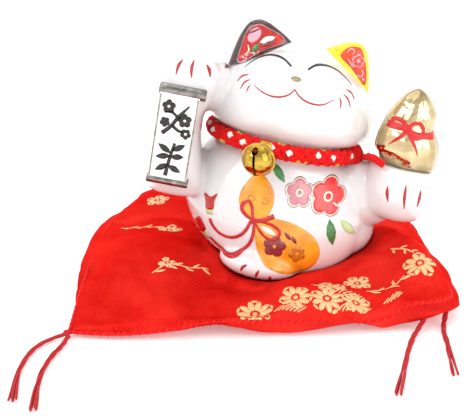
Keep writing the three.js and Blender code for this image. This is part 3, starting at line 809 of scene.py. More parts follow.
def grid_inside(outline, grain):
    """Even points inside an outline, none of them too near its edge."""
    low, high = outline.min(0), outline.max(0)
    inner = [
        (x, y)
        for x in np.arange(low[0] + grain / 2, high[0], grain)
        for y in np.arange(low[1] + grain / 2, high[1], grain)
        if inside_outline((x, y), outline)
    ]
    return [p for p in inner if np.min(np.linalg.norm(outline - np.array(p), axis=1)) > grain * 0.35]


def laid(canvas, outline, lift, grain=1.3, thick=0.12):
    """A thin closed patch over an outline, laid on the canvas."""
    outline = np.array(outline, float)
    flat = [Vector(p) for p in (*outline.tolist(), *grid_inside(outline, grain))]
    points, _, faces, *_ = geometry.delaunay_2d_cdt(flat, [], [list(range(len(outline)))], 1, 1e-5)
    above = [canvas.hit(p, lift) for p in points]
    below = [canvas.hit(p, lift - thick) for p in points]
    faces = [f for f in faces if all(above[i] is not None for i in f)]
    used = sorted({i for f in faces for i in f})
    number = {i: n for n, i in enumerate(used)}
    count = len(used)
    top = [tuple(number[i] for i in f) for f in faces]
    bottom = [tuple(count + i for i in reversed(f)) for f in top]
    edges = dict.fromkeys((a, b) for face in top for a, b in zip(face, face[1:] + face[:1]))
    rim = [(b, a, count + a, count + b) for a, b in edges if (b, a) not in edges]
    return [above[i] for i in used] + [below[i] for i in used], top + bottom + rim


def stroke(points, widths, steps=26):
    """The outline of a brush stroke through points, wide as given along it."""
    line = eased(points, steps)
    half = np.interp(np.linspace(0, 1, steps), np.linspace(0, 1, len(widths)), widths)[:, None] / 2
    ahead = unit(np.gradient(line, axis=0))
    across = np.stack([-ahead[:, 1], ahead[:, 0]], 1)
    return np.concatenate([line + across * half, (line - across * half)[::-1]])


def strokes(lines, widths, steps):
    """The same brush stroke along several lines."""
    return [stroke(line, widths, steps) for line in lines]


def closed_line(points, steps=48):
    """A smooth closed outline through points."""
    points = np.array(points, float)
    looped = np.concatenate([points[-2:], points, points[:3]])
    line = eased(looped, 4 * steps)
    along = np.linalg.norm(line - points[0], axis=1)
    first = int(np.argmin(along[: 2 * steps]))
    last = 2 * steps + int(np.argmin(along[2 * steps:]))
    return line[first:last][:: max(1, (last - first) // steps)]


def oval(centre, radii, turn=0.0, steps=28):
    """An oval outline."""
    a = circle(steps)
    x, y = radii[0] * np.cos(a), radii[1] * np.sin(a)
    c, s = math.cos(turn), math.sin(turn)
    return np.stack([centre[0] + x * c - y * s, centre[1] + x * s + y * c], 1)


def dot(centre, radius, steps=28):
    """A round spot."""
    return oval(centre, (radius, radius), steps=steps)


def blossom(centre, radius, turn=0.0, steps=60):
    """The outline of a plum blossom: five round petals."""
    petals = 5
    far, petal = radius * 0.56, radius * 0.44
    a = circle(steps)
    off = np.mod(a + math.pi / petals, 2 * math.pi / petals) - math.pi / petals
    reach = far * np.cos(off) + np.sqrt(np.maximum(petal ** 2 - (far * np.sin(off)) ** 2, 0.002))
    return np.stack([centre[0] + reach * np.cos(a + turn), centre[1] + reach * np.sin(a + turn)], 1)


def leaf(start, end, width):
    """A pointed leaf outline between two points."""
    start, end = np.array(start, float), np.array(end, float)
    line = [start + (end - start) * t for t in (0, 0.3, 0.6, 1)]
    return stroke(line, [0.1, width * 0.75, width, width * 0.7, 0.1], 18)


def patches(name, canvas, outlines, paint, body, slot, lift, grain=1.3, thick=0.12):
    """Several outlines laid on a canvas as one piece."""
    shapes = [laid(canvas, outline, lift, grain, thick) for outline in outlines]
    return put_on(new_piece(name, [s for s in shapes if s[1]], [paint]), body, slot)


def paint_on(canvas, paints, slot, rows):
    """One piece for each row: its name, paint, lift and outlines, and a finer grain if it has one."""
    for name, paint, lift, outlines, *grain in rows:
        patches(name, canvas, outlines, paints[paint], "cat", slot, lift, *grain)


def paint_face(canvas, paints):
    """Closed smiling eyes, nose, mouth and whiskers."""
    lids = (
        [(-4.9, 90.6), (-8.2, 92.6), (-13, 93.1), (-17.6, 91.6), (-21.4, 88.9), (-24, 86.2)],
        [(2.2, 90.6), (5.2, 92.6), (9.6, 93.2), (14.4, 92.3), (18.6, 90.2), (22.6, 87.2)],
    )
    mouth = (
        [(-2.1, 82.4), (-3.6, 80.4), (-6.6, 78.7), (-10.8, 78.0), (-15.1, 78.8), (-18.8, 80.4)],
        [(-2.1, 82.4), (-0.4, 80.6), (2.6, 78.9), (6.6, 78.1), (10.6, 78.5), (14.8, 80.9)],
    )
    whiskers = (
        ((-21.9, 83.9), (-24.4, 82.6), (-26, 80.2)), ((-20.9, 82.2), (-22.9, 80.6), (-24.2, 77.6)),
        ((-20.3, 80.1), (-21, 78.9), (-21.3, 77)), ((19.9, 85.4), (22.4, 84.4), (24.3, 82)),
        ((18.9, 83.5), (21.2, 81.8), (22.8, 78.9)), ((17.3, 82), (18.2, 80.2), (18.2, 77.8)),
    )
    lines = strokes(mouth, [0.4, 0.6, 0.68, 0.6, 0.3], 34) + strokes(whiskers, [0.2, 0.6, 0.5, 0.2], 14)
    paint_on(canvas, paints, "white_glaze", [
        ("eyes", "black", 0.14, strokes(lids, [0.75, 0.8, 0.6, 0.42, 0.26, 0.14], 40)),
        ("nose", "nose", 0.14, [oval((-2.2, 86.3), (2.1, 0.95))]),
        ("mouth_and_whiskers", "mouth", 0.14, lines),
    ])


def paint_claws(canvas, paints):
    """Three claw strokes on each paw and on the foot."""
    claws = (
        ((-49.6, 85.4), (-50.8, 83), (-51.2, 79.4)), ((-45.0, 86.2), (-45.3, 83), (-44.6, 79.2)),
        ((-39.6, 85.2), (-38.2, 83.4), (-37.2, 80.6)), ((45.6, 49.3), (46.2, 46), (47.4, 42.8)),
        ((52.8, 51.6), (53.6, 46), (54.9, 41)), ((59.8, 50.4), (60.3, 46), (60.4, 42.6)),
        ((-7.6, 7.4), (-9.2, 6.0), (-9.8, 3.8)), ((-2.2, 6.4), (-2.8, 4.4), (-3.0, 2.0)),
        ((2.9, 4.4), (3.3, 3.0), (3.1, 1.2)),
    )
    rows = [("claw_marks", "claw", 0.12, strokes(claws, [0.3, 1.1, 1.3, 0.9, 0.3], 16))]
    paint_on(canvas, paints, "white_glaze", rows)


def paint_gourd_motif(canvas, paints):
    """A painted gourd with swirls and two small plum blossoms."""
    upper = closed_line([
        (-10.5, 44.5), (-7.3, 44.2), (-4.3, 41.7), (-1.9, 38.1), (-1.4, 33.8), (-2.2, 30.4), (-3.6, 27.4),
        (-8.6, 26.4), (-12.4, 27.2), (-14.6, 29.4), (-16.0, 32.6), (-15.8, 36.2), (-13.9, 40.6), (-12.2, 43),
    ])
    lower = closed_line([
        (-6.6, 26.5), (-1.7, 28.2), (5.2, 28.3), (13.1, 26.2), (19.5, 22.0), (22.7, 16.4), (22.3, 10.9),
        (18.3, 6.6), (12.4, 5.3), (5.8, 6.4), (-0.4, 8.6), (-4.4, 13.2), (-6.3, 18.5), (-7.2, 22.8),
    ])
    swirls = (
        [(-11.6, 33), (-12.4, 34.6), (-10.8, 35.6), (-9.4, 34.4), (-10.4, 33.4)],
        [(-6.4, 34.2), (-5.2, 33.2), (-3.9, 34.4), (-4.8, 35.9), (-6.2, 35.2)],
    )
    plum, small_plum = (2.6, 16.4), (12.8, 14.6)
    buds = [leaf((9 + 2.6 * k, 20.6 - 1.4 * k), (5.4 + 3.4 * k, 23.6 - 1.2 * k), 1.7) for k in range(2)]
    paint_on(canvas, paints, "white_glaze", [
        ("gourd_motif", "orange", 0.2, [upper, lower]),
        ("gourd_motif_swirls", "ochre", 0.28, strokes(swirls, [0.4, 0.5, 0.3], 16)),
        ("gourd_motif_plum", "maroon", 0.28, [blossom(plum, 5.0, 0.3), *buds]),
        ("gourd_motif_small_plum", "ochre", 0.28, [blossom(small_plum, 3.8, 0.9)]),
        ("gourd_motif_plum_eyes", "orange", 0.36, [dot(plum, 0.8), dot(small_plum, 0.7)]),
    ])


def paint_ribbon_motif(canvas, paints):
    """The ribbon round the painted gourd: a bow, two long ends and a tassel on each."""
    loops = (
        [(-13.9, 31.6), (-11.9, 33.0), (-10.1, 31.2), (-9.3, 28.6), (-8.7, 26.0)],
        [(-7.6, 25.8), (-4.0, 26.0), (0.4, 25.4), (3.4, 23.4), (3.2, 20.6)],
        [(3.5, 21.4), (1.4, 19.3), (-1.6, 19.7), (-4.6, 21.8), (-7.6, 25.2)],
    )
    ends = (
        [
            (-9.4, 25.2), (-10.7, 20.9), (-12.6, 17.9), (-15.6, 15.6), (-19, 14.9), (-22.6, 15.7),
            (-25.2, 17.6), (-26.9, 20.1),
        ],
        [
            (-7.9, 25.2), (-7.4, 20.0), (-8.0, 15.6), (-10.3, 11.6), (-13.5, 8.8), (-17.2, 7.8),
            (-21.0, 8.6), (-25.3, 10.6),
        ],
    )
    upper_tassel = [
        (-31.1, 30.2), (-28.4, 29.6), (-25.6, 32.0), (-26.4, 28.2), (-26.2, 24.9), (-29.2, 23.9), (-30.1, 27),
    ]
    lower_tassel = [(-33.6, 14.6), (-31.7, 18.4), (-29.6, 16.4), (-27.9, 13.3), (-29.6, 10.6), (-31.8, 12.6)]
    ribbon = [
        stroke([(-9.2, 25.6), (-4.8, 26.6), (-0.2, 29.4)], [1.9, 1.8, 2.0], 16),
        stroke([(-8.7, 26.0), (-12.0, 27.3), (-14.2, 29.6), (-13.6, 32.4)], [1.0, 1.5, 1.7, 1.6], 24),
        stroke(loops[0], [1.3, 1.5, 1.4, 1.0], 24),
        stroke(loops[1], [0.8, 1.1, 1.4, 1.3], 28),
        stroke(loops[2], [1.2, 1.3, 1.2, 0.9], 28),
        stroke(ends[0], [1.3, 1.5, 1.4, 1.3], 44),
        stroke(ends[1], [1.3, 1.5, 1.5, 1.3], 44),
        oval((-8.3, 25.6), (1.5, 1.4)),
        closed_line(upper_tassel, 30),
        closed_line(lower_tassel, 30),
    ]
    bands = [
        stroke([(-29.0, 22.7), (-26.3, 23.7)], [2.7, 2.7], 6),
        stroke([(-28.2, 12.9), (-26.2, 9.3)], [2.6, 2.6], 6),
    ]
    paint_on(canvas, paints, "white_glaze", [
        ("ribbon_motif", "red", 0.34, ribbon, 1.0),
        ("ribbon_motif_lining", "cream", 0.3, [leaf((-5.0, 24.0), (2.2, 21.6), 2.6)]),
        ("ribbon_motif_bands", "pale green", 0.24, bands),
    ])


def paint_blossoms(canvas, paints):
    """The pink and the red plum blossom with their leaves."""
    pink, red = (8.7, 40.3), (21.6, 40.0)
    pink_turn, red_turn = 0.45, 0.2
    streak = [(red[0] + 2.6, red[1] - 2.2), (red[0] + 5, red[1] - 3.4), (red[0] + 7.4, red[1] - 3.4)]
    dark = [leaf((-4.8, 50.2), (1.7, 43.4), 3.6), leaf((23.9, 31.0), (28.0, 19.6), 4.4)]
    paint_on(canvas, paints, "white_glaze", [
        ("blossom_rims", "silver", 0.10, [blossom(pink, 6.6, pink_turn), blossom(red, 8.6, red_turn)]),
        ("blossom_inner_rims", "cream", 0.16, [blossom(pink, 6.2, pink_turn), blossom(red, 8.15, red_turn)]),
        ("pink_blossom", "pink", 0.22, [blossom(pink, 5.6, pink_turn)]),
        ("red_blossom", "scarlet", 0.22, [blossom(red, 7.6, red_turn)]),
        ("blossom_rings", "cream", 0.30, [dot(pink, 1.7), dot(red, 2.1)]),
        ("blossom_ring_red", "scarlet", 0.38, [dot(red, 1.3)]),
        ("blossom_ring_pink", "pink", 0.38, [dot(pink, 0.9)]),
        ("blossom_streak", "cream", 0.32, [stroke(streak, [0.4, 0.9, 0.5], 12)]),
        ("dark_leaves", "green", 0.14, dark),
        ("pale_leaf", "pale green", 0.14, [leaf((28.9, 31.0), (38.4, 23.6), 3.6)]),
    ])


def paint_ears(canvas, paints):
    """The patterned panel inside each ear."""
    left = closed_line([
        (-27.6, 87.0), (-27.4, 93.6), (-25.2, 101.4), (-21.2, 104.4), (-16.4, 103.3), (-8.8, 99.8),
        (-17.6, 93.6),
    ], 60)
    right = closed_line([
        (16.2, 98.2), (20.0, 102.2), (24.0, 102.4), (27, 97.9), (29.6, 87.4), (21.4, 94.0),
    ], 60)
    inner_left = left.mean(0) + (left - left.mean(0)) * 0.95
    fans = [
        leaf((-19.6, 96.8), (-13.4, 100.2), 3.0),
        stroke([(-24.8, 90.4), (-23.6, 92.6), (-24.4, 95.0)], [0.3, 0.7, 0.3], 12),
    ]
    dark = [leaf((-19.0, 95.2), (-12.2, 99.2), 1.8), leaf((-26.6, 98.6), (-19.4, 103.2), 0.9)]
    flower = (24.2, 97.0)
    curls = [
        blossom(flower, 3.0, 0.3),
        stroke([(18.6, 99.6), (20.2, 101.4), (21.8, 100.8), (21.2, 99.2)], [0.4, 0.6, 0.3], 14),
        stroke([(26.6, 93.6), (27.6, 92.0), (26.4, 90.4), (25.0, 91.4)], [0.4, 0.6, 0.3], 16),
        stroke([(19.4, 97.2), (21.0, 95.7), (22.4, 93.8)], [0.3, 0.6, 0.3], 12),
        oval((28.2, 89.6), (0.5, 0.7), steps=12),
    ]
    paint_on(canvas, paints, "brown_glaze", [
        ("ear_panel_rims", "silver", 0.26, [left]),
        ("ear_panel_left", "ear red", 0.34, [inner_left]),
        ("ear_rose_patch", "rose", 0.42, [oval((-22.4, 99.4), (2.3, 3.6), -0.5)]),
        ("ear_cream_petals", "cream", 0.42, fans),
        ("ear_green_leaves", "green", 0.42, [leaf((-22.4, 92.0), (-19.6, 96.4), 2.4)]),
        ("ear_dark_petals", "maroon", 0.48, dark),
    ])
    paint_on(canvas, paints, "yellow_glaze", [
        ("ear_panel_right", "ear orange", 0.26, [right]),
        ("ear_curls", "rose", 0.34, curls),
        ("ear_flower_heart", "ear orange", 0.42, [blossom(flower, 2.3, 0.3)]),
        ("ear_flower_eye", "rose", 0.50, [dot(flower, 0.8, 14)]),
    ])


# ---------------------------------------------------------------- scroll and gourd
def make_scroll(paints):
    """The white tablet between two silver bars, with two ink motifs in place of writing."""
    white = painted("tablet glaze", (0.88, 0.88, 0.86), rough=0.15)
    look = {"rough": 0.16, "metal": 1.0, "coat": 0.1, "spread": 0.5, "grain": 0.3}
    silver = painted("silver lustre", (0.27, 0.255, 0.235), **look)
    low = (SCROLL_LEFT, SCROLL_FRONT, SCROLL_LOW - 1)
    high = (SCROLL_RIGHT, SCROLL_FRONT + SCROLL_SUNK, SCROLL_HIGH + 2)
    panel = new_piece("scroll_tablet", [box_shape(low, high)], [white], CAT)
    rounding = {"width": 0.35 * MM, "segments": 3, "limit_method": "ANGLE", "angle_limit": math.radians(35)}
    add_modifier(panel, "rounded edges", "BEVEL", **rounding)
    put_on(smooth_by_angle(panel), "cat", "white_glaze", "scroll_panel")
    for name, bar in SCROLL_BARS.items():
        make_scroll_bar(name, silver, *bar)
    edge = SCROLL_FRONT - 0.1
    sides = [
        box_shape((u - 0.35, edge, SCROLL_LOW - 0.5), (u + 0.35, edge + 0.6, SCROLL_HIGH + 0.8))
        for u in (SCROLL_LEFT + 0.5, SCROLL_RIGHT - 0.5)
    ]
    put_on(new_piece("scroll_side_lines", sides, [silver], CAT, smooth=False), "cat", "silver_lustre")
    paint_scroll(front_of(panel), paints)


def make_scroll_bar(name, silver, node, left, right, up, half, deep):
    """One of the scroll's rollers, a little flattened and with eased ends."""
    at = SCROLL_FRONT + deep - 2.2
    rows = [(left, half * 0.8), (left + 0.4, half), (right - 0.4, half), (right, half * 0.8)]
    grid = np.array([
        [(u, at - deep * 0.62 * math.cos(a), up + r * math.sin(a)) for a in circle(48)] for u, r in rows
    ])
    bar = new_piece(f"scroll_{name}_bar", [rings(grid)], [silver], CAT)
    put_on(smooth_by_angle(bar), "cat", "silver_lustre", node)


def paint_scroll(front, paints):
    """Two ink motifs: a plum spray above and bamboo leaves below."""
    high, low = np.array((-47.6, 61.6)), np.array((-48.0, 45.0))
    twigs = (
        (((-5.2, -6.2), (-1.8, -2.6), (0.4, 1.2), (4.4, 6.6)), [1.9, 1.5, 1.6, 0.7], 26),
        (((-1.4, -2.4), (1.6, -4.2), (5.4, -4.4)), [1.4, 1.2, 0.6], 16),
        (((0.4, 1.4), (-2.4, 3.0), (-5.4, 2.6)), [1.3, 1.1, 0.6], 16),
    )
    flowers = (((-3.9, 5.2), 2.9), ((3.4, 0.4), 3.0), ((-4.6, -1.4), 2.2), ((4.6, -5.0), 2.3))
    leaves = (
        ((0.2, 2.6), (-5.6, 5.8)), ((0.2, 1.4), (-6.0, 0.2)), ((0.6, 3.6), (5.6, 7.0)),
        ((0.2, 1.0), (5.8, 1.8)), ((-0.2, -2.2), (-5.4, -5.6)), ((-0.2, -2.8), (5.4, -5.0)),
    )
    spray = [stroke(high + points, widths, steps) for points, widths, steps in twigs]
    spray += [blossom(high + centre, size, size, steps=40) for centre, size in flowers]
    bamboo = [stroke(low + ((-0.8, -7.4), (0.0, 0), (1.2, 7.0)), [1.8, 1.4, 1.2], 20)]
    bamboo += [leaf(low + a, low + b, 2.7) for a, b in leaves]
    hearts = [dot(high + flowers[n][0], 0.6, 12) for n in (0, 1, 3)]
    paint_on(front, paints, "white_glaze", [
        ("scroll_ink_spray", "black", 0.10, spray, 1.0),
        ("scroll_ink_bamboo", "black", 0.10, bamboo, 1.0),
        ("scroll_ink_hearts", "cream", 0.18, hearts),
    ])


def make_gourd(paints):
    """The gold gourd that the cat holds, with a painted bow."""
    body = new_piece("gourd_lustre", [loft(GOURD_ROWS, 80, 112, facets=7, facet=0.06)], [gourd_gold()], CAT)
    put_on(body, "cat", "gold_lustre", "gold_gourd")
    bow = [
        stroke([(39.6, 75.0), (42.2, 74.6), (44.6, 74.6), (48.2, 74.4)], [2.6, 3.0, 2.6, 2.0], 20),
        stroke([(48.2, 74.2), (52.4, 72.8), (57.4, 73.0), (61.0, 73.4)], [2.0, 2.4, 2.6, 3.0], 24),
        stroke([(48.4, 74.4), (45.8, 77.4), (42.6, 77.2), (42.2, 75.2)], [1.4, 1.9, 1.8, 1.2], 20),
        stroke([(48.4, 74.6), (50.6, 77.2), (53.6, 77.4), (55.6, 74.6)], [1.2, 1.7, 1.6, 1.4], 20),
        stroke([(55.6, 75.2), (54.6, 72.2), (51.8, 71.4), (48.6, 73.6)], [1.4, 1.8, 1.8, 1.2], 20),
        stroke([(47.8, 73.8), (46.6, 71.4), (44.6, 69.0), (42.4, 66.4)], [1.4, 1.5, 1.0, 0.2], 20),
        stroke([(48.4, 73.8), (50.8, 70.6), (53.0, 67.8), (54.8, 64.4)], [1.4, 1.6, 1.0, 0.2], 20),
        oval((48.2, 74.5), (2.0, 1.9)),
    ]
    paint_on(front_of(body), paints, "gold_lustre", [("gourd_bow", "bow", 0.16, bow, 1.0)])


# ---------------------------------------------------------------- collar and bell
def ring_round(radius, up, turn):
    """A point on a level ring about the neck; a turn of 0 is the cat's front."""
    return np.stack([radius * np.sin(turn), COLLAR_CENTRE.y - radius * np.cos(turn), up], -1)


def collar_strand(way, start):
    """The route of one strand of the braid around the neck."""
    a = circle(BRAID_STEPS)
    spin = start + way * BRAID_TURNS * a
    out = BRAID_RADIUS + way * BRAID_WEAVE * np.cos(STRANDS_EACH_WAY * BRAID_TURNS * a)
    return ring_round(COLLAR_RADIUS + out * np.cos(spin), COLLAR_CENTRE.z + out * np.sin(spin), a)


def fleck_strands(cord):
    """Short lengths of some strands in white and gold, in place of red."""
    for strand, colour, start in FLECKS:
        for step in range(BRAID_STEPS):
            first = (strand * BRAID_STEPS + step) * STRAND_SIDES
            if (step + start) % FLECK_EVERY < FLECK_LONG:
                for face in cord.data.polygons[first:first + STRAND_SIDES]:
                    face.material_index = colour


def make_knot(red):
    """Three tight wraps round the cord where its ends are tied."""
    shapes = []
    for n, shift in enumerate(KNOT_SHIFTS):
        turn = KNOT_TURN + shift / COLLAR_RADIUS
        out = np.array((math.sin(turn), -math.cos(turn), 0))
        ahead = np.array((math.cos(turn), math.sin(turn), 0))
        centre = ring_round(COLLAR_RADIUS, COLLAR_CENTRE.z, turn)
        wrap = [
            centre + KNOT_RADIUS * (math.cos(a) * out + math.sin(a) * np.array((0, 0, 1)))
            + ahead * KNOT_SLANT * math.cos(a + n)
            for a in circle(40)
        ]
        shapes.append(tube(wrap, KNOT_THREAD, 9, closed=True))
    put_on(new_piece("collar_knot_wraps", shapes, [red], CAT), "collar", "braided_cord", "collar_knot")


def make_collar(red):
    """An eight-strand braided cord with white and gold flecks, its knot and its short tail."""
    white = threaded("white fleck yarn", FLECK_WHITE)
    gold = threaded("gold fleck yarn", FLECK_GOLD)
    shapes = [
        tube(collar_strand(way, 2 * math.pi * k / STRANDS_EACH_WAY), STRAND_RADIUS, STRAND_SIDES, closed=True)
        for way in (1, -1) for k in range(STRANDS_EACH_WAY)
    ]
    cord = new_piece("collar_braid", shapes, [red, white, gold], CAT)
    fleck_strands(cord)
    put_on(cord, "collar", "braided_cord", "collar_cord")
    make_knot(red)
    tail = new_piece("collar_end", twisted_threads(eased(COLLAR_TAIL, 60), *COLLAR_TAIL_TWIST), [red], CAT)
    put_on(tail, "collar", "braided_cord", "collar_tail")


def bell_frames():
    """Where the bell hangs: its centre, which way is down, and the frames of its ball and its eye."""
    out = Vector((math.sin(BELL_TURN), -math.cos(BELL_TURN), 0))
    drop = out * math.cos(BELL_DROOP) + Vector((0, 0, -math.sin(BELL_DROOP)))
    centre = COLLAR_CENTRE + out * COLLAR_RADIUS + drop * BELL_REACH
    plumb = Vector((math.sin(LEAN), 0, -math.cos(LEAN)))
    axis = -drop

    def frame(down):
        side = down.cross(axis).normalized()
        return Matrix.Translation(centre) @ Matrix((side, axis.cross(side), axis)).transposed().to_4x4()

    return centre, plumb, frame(plumb), frame(Vector((0, 0, -1)))


def shell_half(side):
    """Half of the hollow ball, its open edge towards the middle."""
    turn = np.linspace(0.01, math.radians(89.3), 26)
    inside = BELL_RADIUS - BELL_WALL
    outer = [(BELL_RADIUS * math.sin(a), side * BELL_RADIUS * math.cos(a)) for a in turn]
    inner = [(inside * math.sin(a), side * inside * math.cos(a)) for a in turn[::-1]]
    return turned(outer + inner, 72)


def cut(obj, shapes):
    """Takes closed shapes out of a piece."""
    for shape in shapes:
        tool = new_piece("cutter", [shape], [])
        add_modifier(obj, "cut", "BOOLEAN", operation="DIFFERENCE", solver="EXACT", object=tool)
        bpy.context.view_layer.update()
        apply_modifiers(obj)
        bpy.data.objects.remove(tool)


def bell_openings(place):
    """The slit under the bell and the round hole at each of its ends."""
    hole, faces = turned(eased([(1.3, -9), (1.3, -5), (1.3, -1.2)], 8), 32)
    slit = box_shape((-0.5, -BELL_HOLES_OUT, -8), (0.5, BELL_HOLES_OUT, -0.4))
    shapes = [slit, *[(hole + np.array((0, out, 0)), faces) for out in (-BELL_HOLES_OUT, BELL_HOLES_OUT)]]
    return [(np.array([place @ Vector(p) for p in points]), sides) for points, sides in shapes]


def make_bell_eye(brass, place):
    """A strap round the cord and a small crimped crown where it joins the ball."""
    angles = np.radians(np.linspace(*STRAP_ENDS, 33))
    bent = [(math.sin(a) * STRAP_BEND, BELL_REACH - math.cos(a) * STRAP_BEND) for a in angles]
    wires = [tube([(off, *point) for point in bent], WIRE_RADIUS, 10) for off in WIRE_PLACES]
    beads = [
        ellipsoid((off, 3.4, 9.4), (1.2, 1.5, 1.0), turn=off / 6, steps=16, around=24)
        for off in BEAD_PLACES
    ]
    profile = [(3.9, 5.6), (3.4, 6.4), (2.3, 6.9), (2.2, 7.6), (3.2, 8.4), (2.8, 8.8), (0.2, 8.9)]
    crown = turned(eased(profile, 24), 60, 1 + 0.16 * np.cos(6 * circle(60)))
    return new_piece("bell_strap", [*wires, *beads, crown], [brass], place)


def make_bell():
    """A gold bell: two crimped halves, a slit with a round hole at each end, an eye and a pellet."""
    look = {"rough": 0.07, "metal": 1.0, "coat": 0.1, "spread": 0.4, "grain": 0.25}
    brass = painted("bell brass", (0.56, 0.35, 0.05), **look)
    steel = painted("pellet steel", (0.42, 0.41, 0.40), rough=0.3, metal=1.0, coat=0.0)
    centre, plumb, ball, eye = bell_frames()
    place = CAT @ ball
    cap = new_piece("bell_upper_half", [shell_half(1)], [brass], place)
    mouth = new_piece("bell_lower_half", [shell_half(-1)], [brass], place)
    cut(mouth, bell_openings(place))
    crimp = [(-0.1, -0.62), (0.42, -0.45), (0.5, 0), (0.42, 0.45), (-0.1, 0.62)]
    crimp = turned(eased([(BELL_RADIUS + out, up) for out, up in crimp], 20), 96)
    rim = new_piece("bell_crimp", [crimp], [brass], place)
    put_on(smooth_by_angle(cap), "bell", "bell_brass", "bell_cap")
    put_on(smooth_by_angle(mouth), "bell", "bell_brass", "bell_mouth")
    put_on(smooth_by_angle(rim), "bell", "bell_brass", "bell_rim")
    put_on(make_bell_eye(brass, CAT @ eye), "bell", "bell_brass", "bell_eye")
    pellet = ellipsoid(centre + plumb * PELLET_DROP, (PELLET_RADIUS,) * 3, steps=20, around=32)
    put_on(new_piece("bell_ball", [pellet], [steel], CAT), "pellet", "pellet_steel", "bell_pellet")


# ---------------------------------------------------------------- the cushion
def seam_sides(per_side):
    """The sewn edge as four runs of points, with its corners turned round."""
    loop = np.concatenate([eased(side, per_side + 1)[:-1] for side in SEAM_SIDES])
    sharp = loop[0]
    for _ in range(CORNER_ROUNDING):
        loop = loop / 2 + (np.roll(loop, 1, 0) + np.roll(loop, -1, 0)) / 4
        loop[0] = sharp
    closed = np.concatenate([loop, loop[:1]])
    return [closed[n * per_side:(n + 1) * per_side + 1] for n in range(4)]


def swelling(x, y, high, start, end, wide):
    """The height that a fold or a dent adds over a place; it fades away from its line."""
    start, end = np.array(start), np.array(end)
    span = end - start
    share = np.clip(((x - start[0]) * span[0] + (y - start[1]) * span[1]) / span.dot(span), 0, 1)
    away = np.hypot(x - start[0] - span[0] * share, y - start[1] - span[1] * share)
    return high * np.exp(-((away / wide) ** 2))


def crown_height(x, y):
    """How high the full cushion stands: low in front, high behind, with folds and a dent by the cat."""
    back = np.clip((y - CROWN_FROM) / CROWN_DEPTH, 0, 1)
    return CROWN_FRONT + CROWN_MORE * back + sum(swelling(x, y, *fold) for fold in CUSHION_FOLDS)


def seam_patch(cells, s, t):
    """A grid of points that meets the seam on all four sides and runs evenly between them."""
    front, right, back, left = seam_sides(cells)
    back, left = back[::-1], left[::-1]
    along = front[None] * (1 - t) + back[None] * t
    up = left[:, None] * (1 - s) + right[:, None] * s
    corner = (
        front[0] * (1 - s) * (1 - t) + front[-1] * s * (1 - t) + back[0] * (1 - s) * t + back[-1] * s * t
    )
    return along + up - corner


def pillow_grid(cells, under):
    """Top and bottom sheets over the seam, as grids of points, and where the cat presses on the top."""
    s = np.linspace(0, 1, cells + 1)[None, :, None]
    t = np.linspace(0, 1, cells + 1)[:, None, None]
    flat = seam_patch(cells, s, t)
    level = flat[..., 2]
    rise = ((1 - (2 * s - 1) ** EDGE_SQUARE) * (1 - (2 * t - 1) ** EDGE_SQUARE))[..., 0] ** EDGE_ROUND
    top, bottom = flat.copy(), flat.copy()
    top[..., 2] = level + (np.maximum(crown_height(flat[..., 0], flat[..., 1]), level + 1) - level) * rise
    bottom[..., 2] = level * (1 - rise) + UNDER_LIFT
    outward = flat[..., :2] - flat[..., :2].mean((0, 1))
    outward /= np.maximum(np.linalg.norm(outward, axis=-1), 1)[..., None]
    bottom[..., :2] += outward * (UNDER_BULGE * level * np.sin(math.pi * rise))[..., None]
    pressed = np.zeros(rise.shape, bool)
    for i in range(1, cells):
        for j in range(1, cells):
            x, y, z = top[i, j]
            rest = under(x, y) - PRESS_GAP
            pressed[i, j] = rest < z
            top[i, j, 2] = max(bottom[i, j, 2] + THINNEST, min(z, rest))
    return top, bottom, pressed


def cushion_mesh(top, bottom, pressed, materials):
    """The two sheets sewn along their shared edge; the points that can't move are in a group."""
    cells = top.shape[0] - 1
    number, points, faces, marks = {}, [], [], []

    def corner(i, j, low):
        edge = i in (0, cells) or j in (0, cells)
        key = (i, j, low and not edge)
        if key not in number:
            number[key] = len(points)
            points.append(tuple((bottom if low and not edge else top)[i, j]))
        return number[key]

    for low in (False, True):
        for i in range(cells):
            for j in range(cells):
                face = [corner(i + a, j + b, low) for a, b in ((0, 0), (0, 1), (1, 1), (1, 0))]
                faces.append(face[::-1] if low else face)
                marks.append(int(low))
    made = new_piece("brocade_cushion", [(points, faces)], materials)
    made.data.polygons.foreach_set("material_index", marks)
    held = [
        n for (i, j, low), n in number.items()
        if i in (0, cells) or j in (0, cells) or (bottom[i, j, 2] < FLOOR_REST if low else pressed[i, j])
    ]
    made.vertex_groups.new(name="held").add(held, 1.0, "REPLACE")
    return made


def points_of(mesh):
    """All the points of a mesh as rows."""
    points = np.zeros(len(mesh.vertices) * 3, np.float32)
    mesh.vertices.foreach_get("co", points)
    return points.reshape(-1, 3)


def settle(cushion):
    """Inflates the sewn cover a little so that its cloth creases, and keeps the result."""
    start = points_of(cushion.data)
    modifier = add_modifier(cushion, "cloth", "CLOTH")
    for key, value in CLOTH.items():
        setattr(modifier.settings, key, value)
    modifier.settings.effector_weights.gravity = 0
    modifier.collision_settings.use_self_collision = False
    modifier.point_cache.frame_start, modifier.point_cache.frame_end = 1, CLOTH_FRAMES
    scene = bpy.context.scene
    for frame in range(1, CLOTH_FRAMES + 1):
        scene.frame_set(frame)
    apply_modifiers(cushion)
    scene.frame_set(1)
    move = points_of(cushion.data) - start
    reach = np.linalg.norm(move, axis=1)[:, None]
    final = start + move * np.minimum(1, CLOTH_MOVE * MM / np.maximum(reach, 1e-9))
    final[:, 2] = np.maximum(final[:, 2], CLOTH_LOW * MM)
    cushion.data.vertices.foreach_set("co", final.reshape(-1))
    cushion.data.update()


